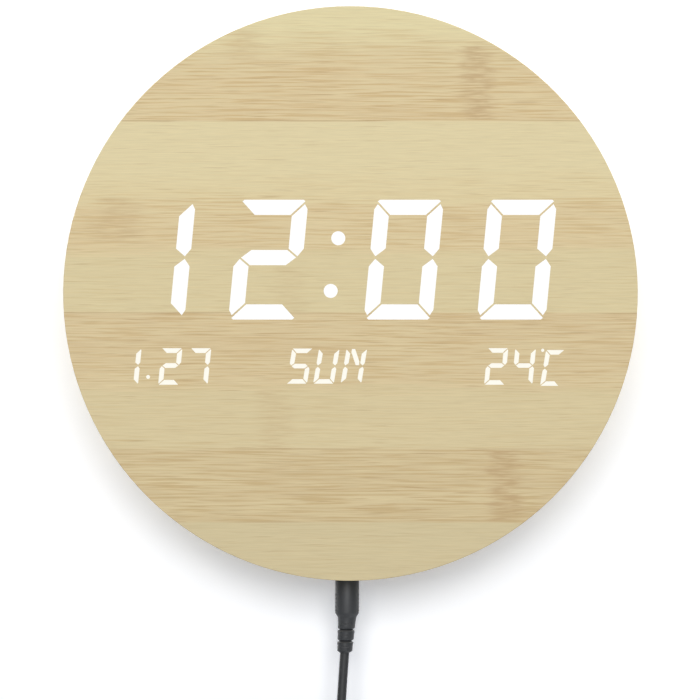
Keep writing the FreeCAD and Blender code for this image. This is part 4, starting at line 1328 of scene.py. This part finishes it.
@dataclass
class RearTrim:
    """The cover's raised rib, its screws and the soft bumpers that touch the wall."""

    rib_radius: float = 0.1060
    rib_width: float = 0.0016
    rib_height: float = 0.0006
    rib_sink: float = 0.0001
    screw_head: float = 0.0028
    screw_shank: float = 1.45 * MM
    screw_seat: float = -1.6 * MM
    screw_count: int = 6
    bumper_radius: float = 5.0 * MM

    def build(self) -> None:
        """Builds the rib, screws and bumpers."""
        self.rib()
        self.screws()
        self.bumpers()

    def rib(self) -> None:
        """A rounded ring moulded on the cover."""
        centre = middle_of(*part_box("rear_cover"))
        Bench.clear()
        bpy.ops.mesh.primitive_torus_add(location=centre, rotation=(math.pi / 2, 0.0, 0.0), major_segments=160,
                                         minor_segments=12, major_radius=self.rib_radius,
                                         minor_radius=self.rib_width / 2)
        piece = bpy.context.object
        piece.name = "cover_rib"
        Bench.edit()
        bpy.ops.transform.resize(value=(1.0, 2 * self.rib_height / self.rib_width, 1.0), center_override=centre)
        bpy.ops.mesh.bisect(plane_co=centre - Vector((0.0, self.rib_sink, 0.0)), plane_no=(0.0, 1.0, 0.0),
                            use_fill=False, clear_inner=True)
        bpy.ops.mesh.select_all(action="DESELECT")
        bpy.ops.mesh.select_mode(type="EDGE")
        bpy.ops.mesh.select_non_manifold()
        bpy.ops.mesh.bridge_edge_loops()
        bpy.ops.object.mode_set(mode="OBJECT")
        Bench.settle(piece, 50.0)
        hand_over(piece, Body.CLOCK, "cover_plastic", "rib")

    def screws(self) -> None:
        """The cover's pan-head screws with their cross recess."""
        box_low, box_high = map(Vector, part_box("cover_screws"))
        reach = box_high.x - self.screw_head
        low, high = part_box("rear_cover")
        middle_z = (low[2] + high[2]) / 2
        seat, crown, shank, head = self.screw_seat, box_high.y, self.screw_shank, self.screw_head
        rings = [(box_low.y, 0.3 * MM), (box_low.y + 1.2 * MM, shank), (seat, shank), (seat, head),
                 (seat + 0.35 * MM, head), (seat + 0.8 * MM, head * 0.9), (crown - 0.12 * MM, head * 0.66),
                 (crown, head * 0.3)]
        start = Vector((reach, 0.0, middle_z))
        first = Bench.turned("cover_screw_set", rings, start, Axis.DEPTH, 32)
        for size in (Vector((1.35, 0.8, 0.33)), Vector((0.33, 0.8, 1.35))):
            centre = Vector((reach, crown, middle_z))
            Bench.cut(first, Bench.block("cross", centre - size * MM, centre + size * MM, 0.0))
        Bench.settle(first, 35.0)
        copies = [first]
        for index in range(1, self.screw_count):
            angle = 2 * math.pi * index / self.screw_count
            place = Vector((reach * math.cos(angle), 0.0, middle_z + reach * math.sin(angle)))
            copies.append(Bench.copy(first, place - start))
        piece = Bench.join("cover_screw_set", copies)
        Bench.settle(piece, 35.0)
        hand_over(piece, Body.CLOCK, "black_screw", "black_screw", "cover_screws")

    def bumpers(self) -> None:
        """Four domed rubber bumpers with a soft rim."""
        low, high = map(Vector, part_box("wall_bumpers"))
        radius, height = self.bumper_radius, high.y
        first_centre = Vector((low.x + radius, 0.0, low.z + radius))
        steps = ((0.0, 0.1), (0.25, 0.0), (0.6, 0.15), (0.85, 0.6), (0.97, 1.3), (1.0, 2.2))
        rings = [(share * height, radius - inset * MM) for share, inset in steps] + [(height, 0.8 * MM)]
        first = Bench.turned("wall_pads", rings, first_centre, Axis.DEPTH, 48)
        Bench.settle(first, 40.0)
        shift = Vector((high.x - low.x - 2 * radius, 0.0, high.z - low.z - 2 * radius))
        copies = [first] + [Bench.copy(first, Vector((shift.x * i, 0.0, shift.z * k)))
                            for i, k in ((1, 0), (0, 1), (1, 1))]
        piece = Bench.join("wall_pads", copies)
        Bench.settle(piece, 40.0)
        hand_over(piece, Body.CLOCK, "bumper_rubber", "rubber", "wall_bumpers")


class CarriedNodes:
    """The frame's own pieces that are shown as they are, each with its finish."""

    finishes: dict[str, str] = {
        "face_veneer": "bamboo_face", "edge_veneer": "bamboo_edge",
        "lit_time_digits": "lit", "lit_colon": "lit", "lit_date": "lit_warm", "lit_weekday": "lit_warm",
        "lit_temperature": "lit_warm", "face_board": "fibreboard", "case_ring": "fibreboard",
        "diffuser_sheet": "film", "reflector_block": "white", "display_board": "board", "control_board": "board",
        "time_leds": "led", "row_leds": "led", "driver_chips": "chip", "processor_chip": "chip",
        "voltage_regulator": "chip", "clock_crystal": "bright", "capacitors": "can", "alarm_buzzer": "black",
        "microphone": "can", "temperature_sensor": "bead", "header_strip": "black", "header_pins": "gold",
        "display_screws": "zinc", "control_screws": "zinc", "hanger_screws": "zinc", "rear_cover": "cover",
        "switch_stem_set": "black", "switch_stem_up": "black", "switch_stem_down": "black",
        "push_switches": "bright", "sound_switch_body": "bright", "hanger_plate": "bright",
        "coin_cell": "can", "cell_contact": "gold", "battery_leads": "wire", "inlet_leads": "wire",
        "inlet_body": "black", "inlet_pin": "bright", "plug_barrel": "bright", "usb_shell": "bright",
        "usb_tongue": "white", "usb_contacts": "gold",
    }

    def build(self) -> None:
        """Dresses each of them."""
        for node, finish in self.finishes.items():
            Wardrobe.dress_node(node, finish)


# ------------------------------------------------------------------ studio
@dataclass(frozen=True)
class Lamp:
    """A soft rectangular light: where it is, its width and height, and its power in watts."""

    name: str
    place: tuple[float, float, float]
    size: tuple[float, float]
    watts: float


@dataclass
class Studio:
    """A white wall behind the clock, a pale floor far below, and soft lights."""

    wall_gap: float = 0.0002
    wall_size: float = 6.0
    wall_glow: float = 0.165
    floor_z: float = -1.2
    floor_glow: float = 0.05
    glow_colour: tuple[float, float, float, float] = (0.66, 0.77, 1.0, 1.0)
    target: tuple[float, float, float] = (0.0, -0.02, -0.082)
    lamps: tuple[Lamp, ...] = (
        Lamp("key", (0.0, -3.02, 1.038), (3.0, 1.75), 81.0), Lamp("back_left", (1.4, 1.8, 0.9), (1.2, 1.2), 55.0),
        Lamp("back_right", (-1.4, 1.8, 0.3), (1.2, 1.2), 35.0))
    fill_strength: float = 0.60
    fill_angle_deg: float = 6.0
    sky: float = 0.15

    def surface(self, name: str, colour: tuple[int, int, int], glow: float) -> bpy.types.Material:
        """A matt surface that only shows its front.

        Args:
            name: the material's name.
            colour: its colour.
            glow: a little light of its own.
        Returns:
            The material.
        """
        material, sheet, shader, object_at = new_material(name)
        mottle = sheet.span(sheet.noise(object_at, 40.0, 3.0), 0.3, 0.7, 0.995, 1.0)
        shade = sheet.mix(1.0, srgb(*colour), sheet.grey(mottle), "MULTIPLY")
        sheet.feed(shader, Base_Color=shade, Roughness=0.9, Specular_IOR_Level=0.0, Emission_Color=self.glow_colour,
                   Emission_Strength=glow)
        clear = sheet.add("BsdfTransparent")
        back = sheet.add("NewGeometry").outputs["Backfacing"]
        seen = sheet.add("MixShader", back, shader.outputs[0], clear.outputs[0])
        output = next(node for node in sheet.tree.nodes if node.type == "OUTPUT_MATERIAL")
        sheet.feed(output, Surface=seen.outputs[0])
        return material

    def plane(self, name: str, place: Vector, turn: tuple[float, float, float]) -> bpy.types.Object:
        """A large stage plane that lets light through from behind."""
        Bench.clear()
        bpy.ops.mesh.primitive_plane_add(size=self.wall_size, location=place, rotation=turn)
        piece = bpy.context.object
        piece.name = name
        piece.visible_shadow = False
        bpy.ops.object.transform_apply(location=True, rotation=True, scale=True)
        return piece

    def light(self, lamp: Lamp) -> None:
        """Adds a lamp, aimed at the clock."""
        data = bpy.data.lights.new(lamp.name, "AREA")
        data.shape = "RECTANGLE"
        data.size, data.size_y = lamp.size
        data.energy = lamp.watts
        made = bpy.data.objects.new(lamp.name, data)
        made.location = lamp.place
        made.rotation_euler = (Vector(self.target) - Vector(lamp.place)).to_track_quat("-Z", "Y").to_euler()
        bpy.context.collection.objects.link(made)

    def fill(self) -> None:
        """Adds a weak sun that shines level onto the face."""
        data = bpy.data.lights.new("front_fill", "SUN")
        data.energy = self.fill_strength
        data.angle = math.radians(self.fill_angle_deg)
        made = bpy.data.objects.new("front_fill", data)
        made.rotation_euler = (math.pi / 2, 0.0, 0.0)
        bpy.context.collection.objects.link(made)

    def build(self) -> None:
        """Adds the wall, floor, lights and sky."""
        wall_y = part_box("wall_bumpers")[1][1] + self.wall_gap
        wall = self.plane("wall", Vector((0.0, wall_y, 0.0)), (math.pi / 2, 0.0, 0.0))
        wall.data.materials.append(self.surface("wall_white", (252, 252, 252), self.wall_glow))
        floor = self.plane("floor", Vector((0.0, 0.0, self.floor_z)), (0.0, 0.0, 0.0))
        floor.visible_diffuse = False
        floor.data.materials.append(self.surface("floor_white", (236, 236, 234), self.floor_glow))
        for lamp in self.lamps:
            self.light(lamp)
        self.fill()
        world = bpy.data.worlds.new("sky")
        bpy.context.scene.world = world
        world.use_nodes = True
        background = world.node_tree.nodes["Background"]
        background.inputs["Color"].default_value = (1.0, 1.0, 1.0, 1.0)
        background.inputs["Strength"].default_value = self.sky
        bpy.context.scene.view_settings.view_transform = "Standard"
        log.info("studio ready")


# ------------------------------------------------------------------ assembly
def main() -> None:
    """Builds every sub-assembly in order and reports each piece."""
    logging.basicConfig(level=logging.INFO, format="%(name)s %(message)s")
    Viewpoint().build()
    run = PowerCord()
    cord = run.build()
    hand_over(cord, Body.LEAD, "cord_vinyl", "cord", "power_cord", "cord_coil", "cord_tail")
    plug = Plug().build()
    far_plug = FarPlug().build()
    tie = CordTie().build()
    RearControls().build()
    RearTrim().build()
    CarriedNodes().build()
    Studio().build()
    Bench.clear()


if __name__ == "__main__":
    main()
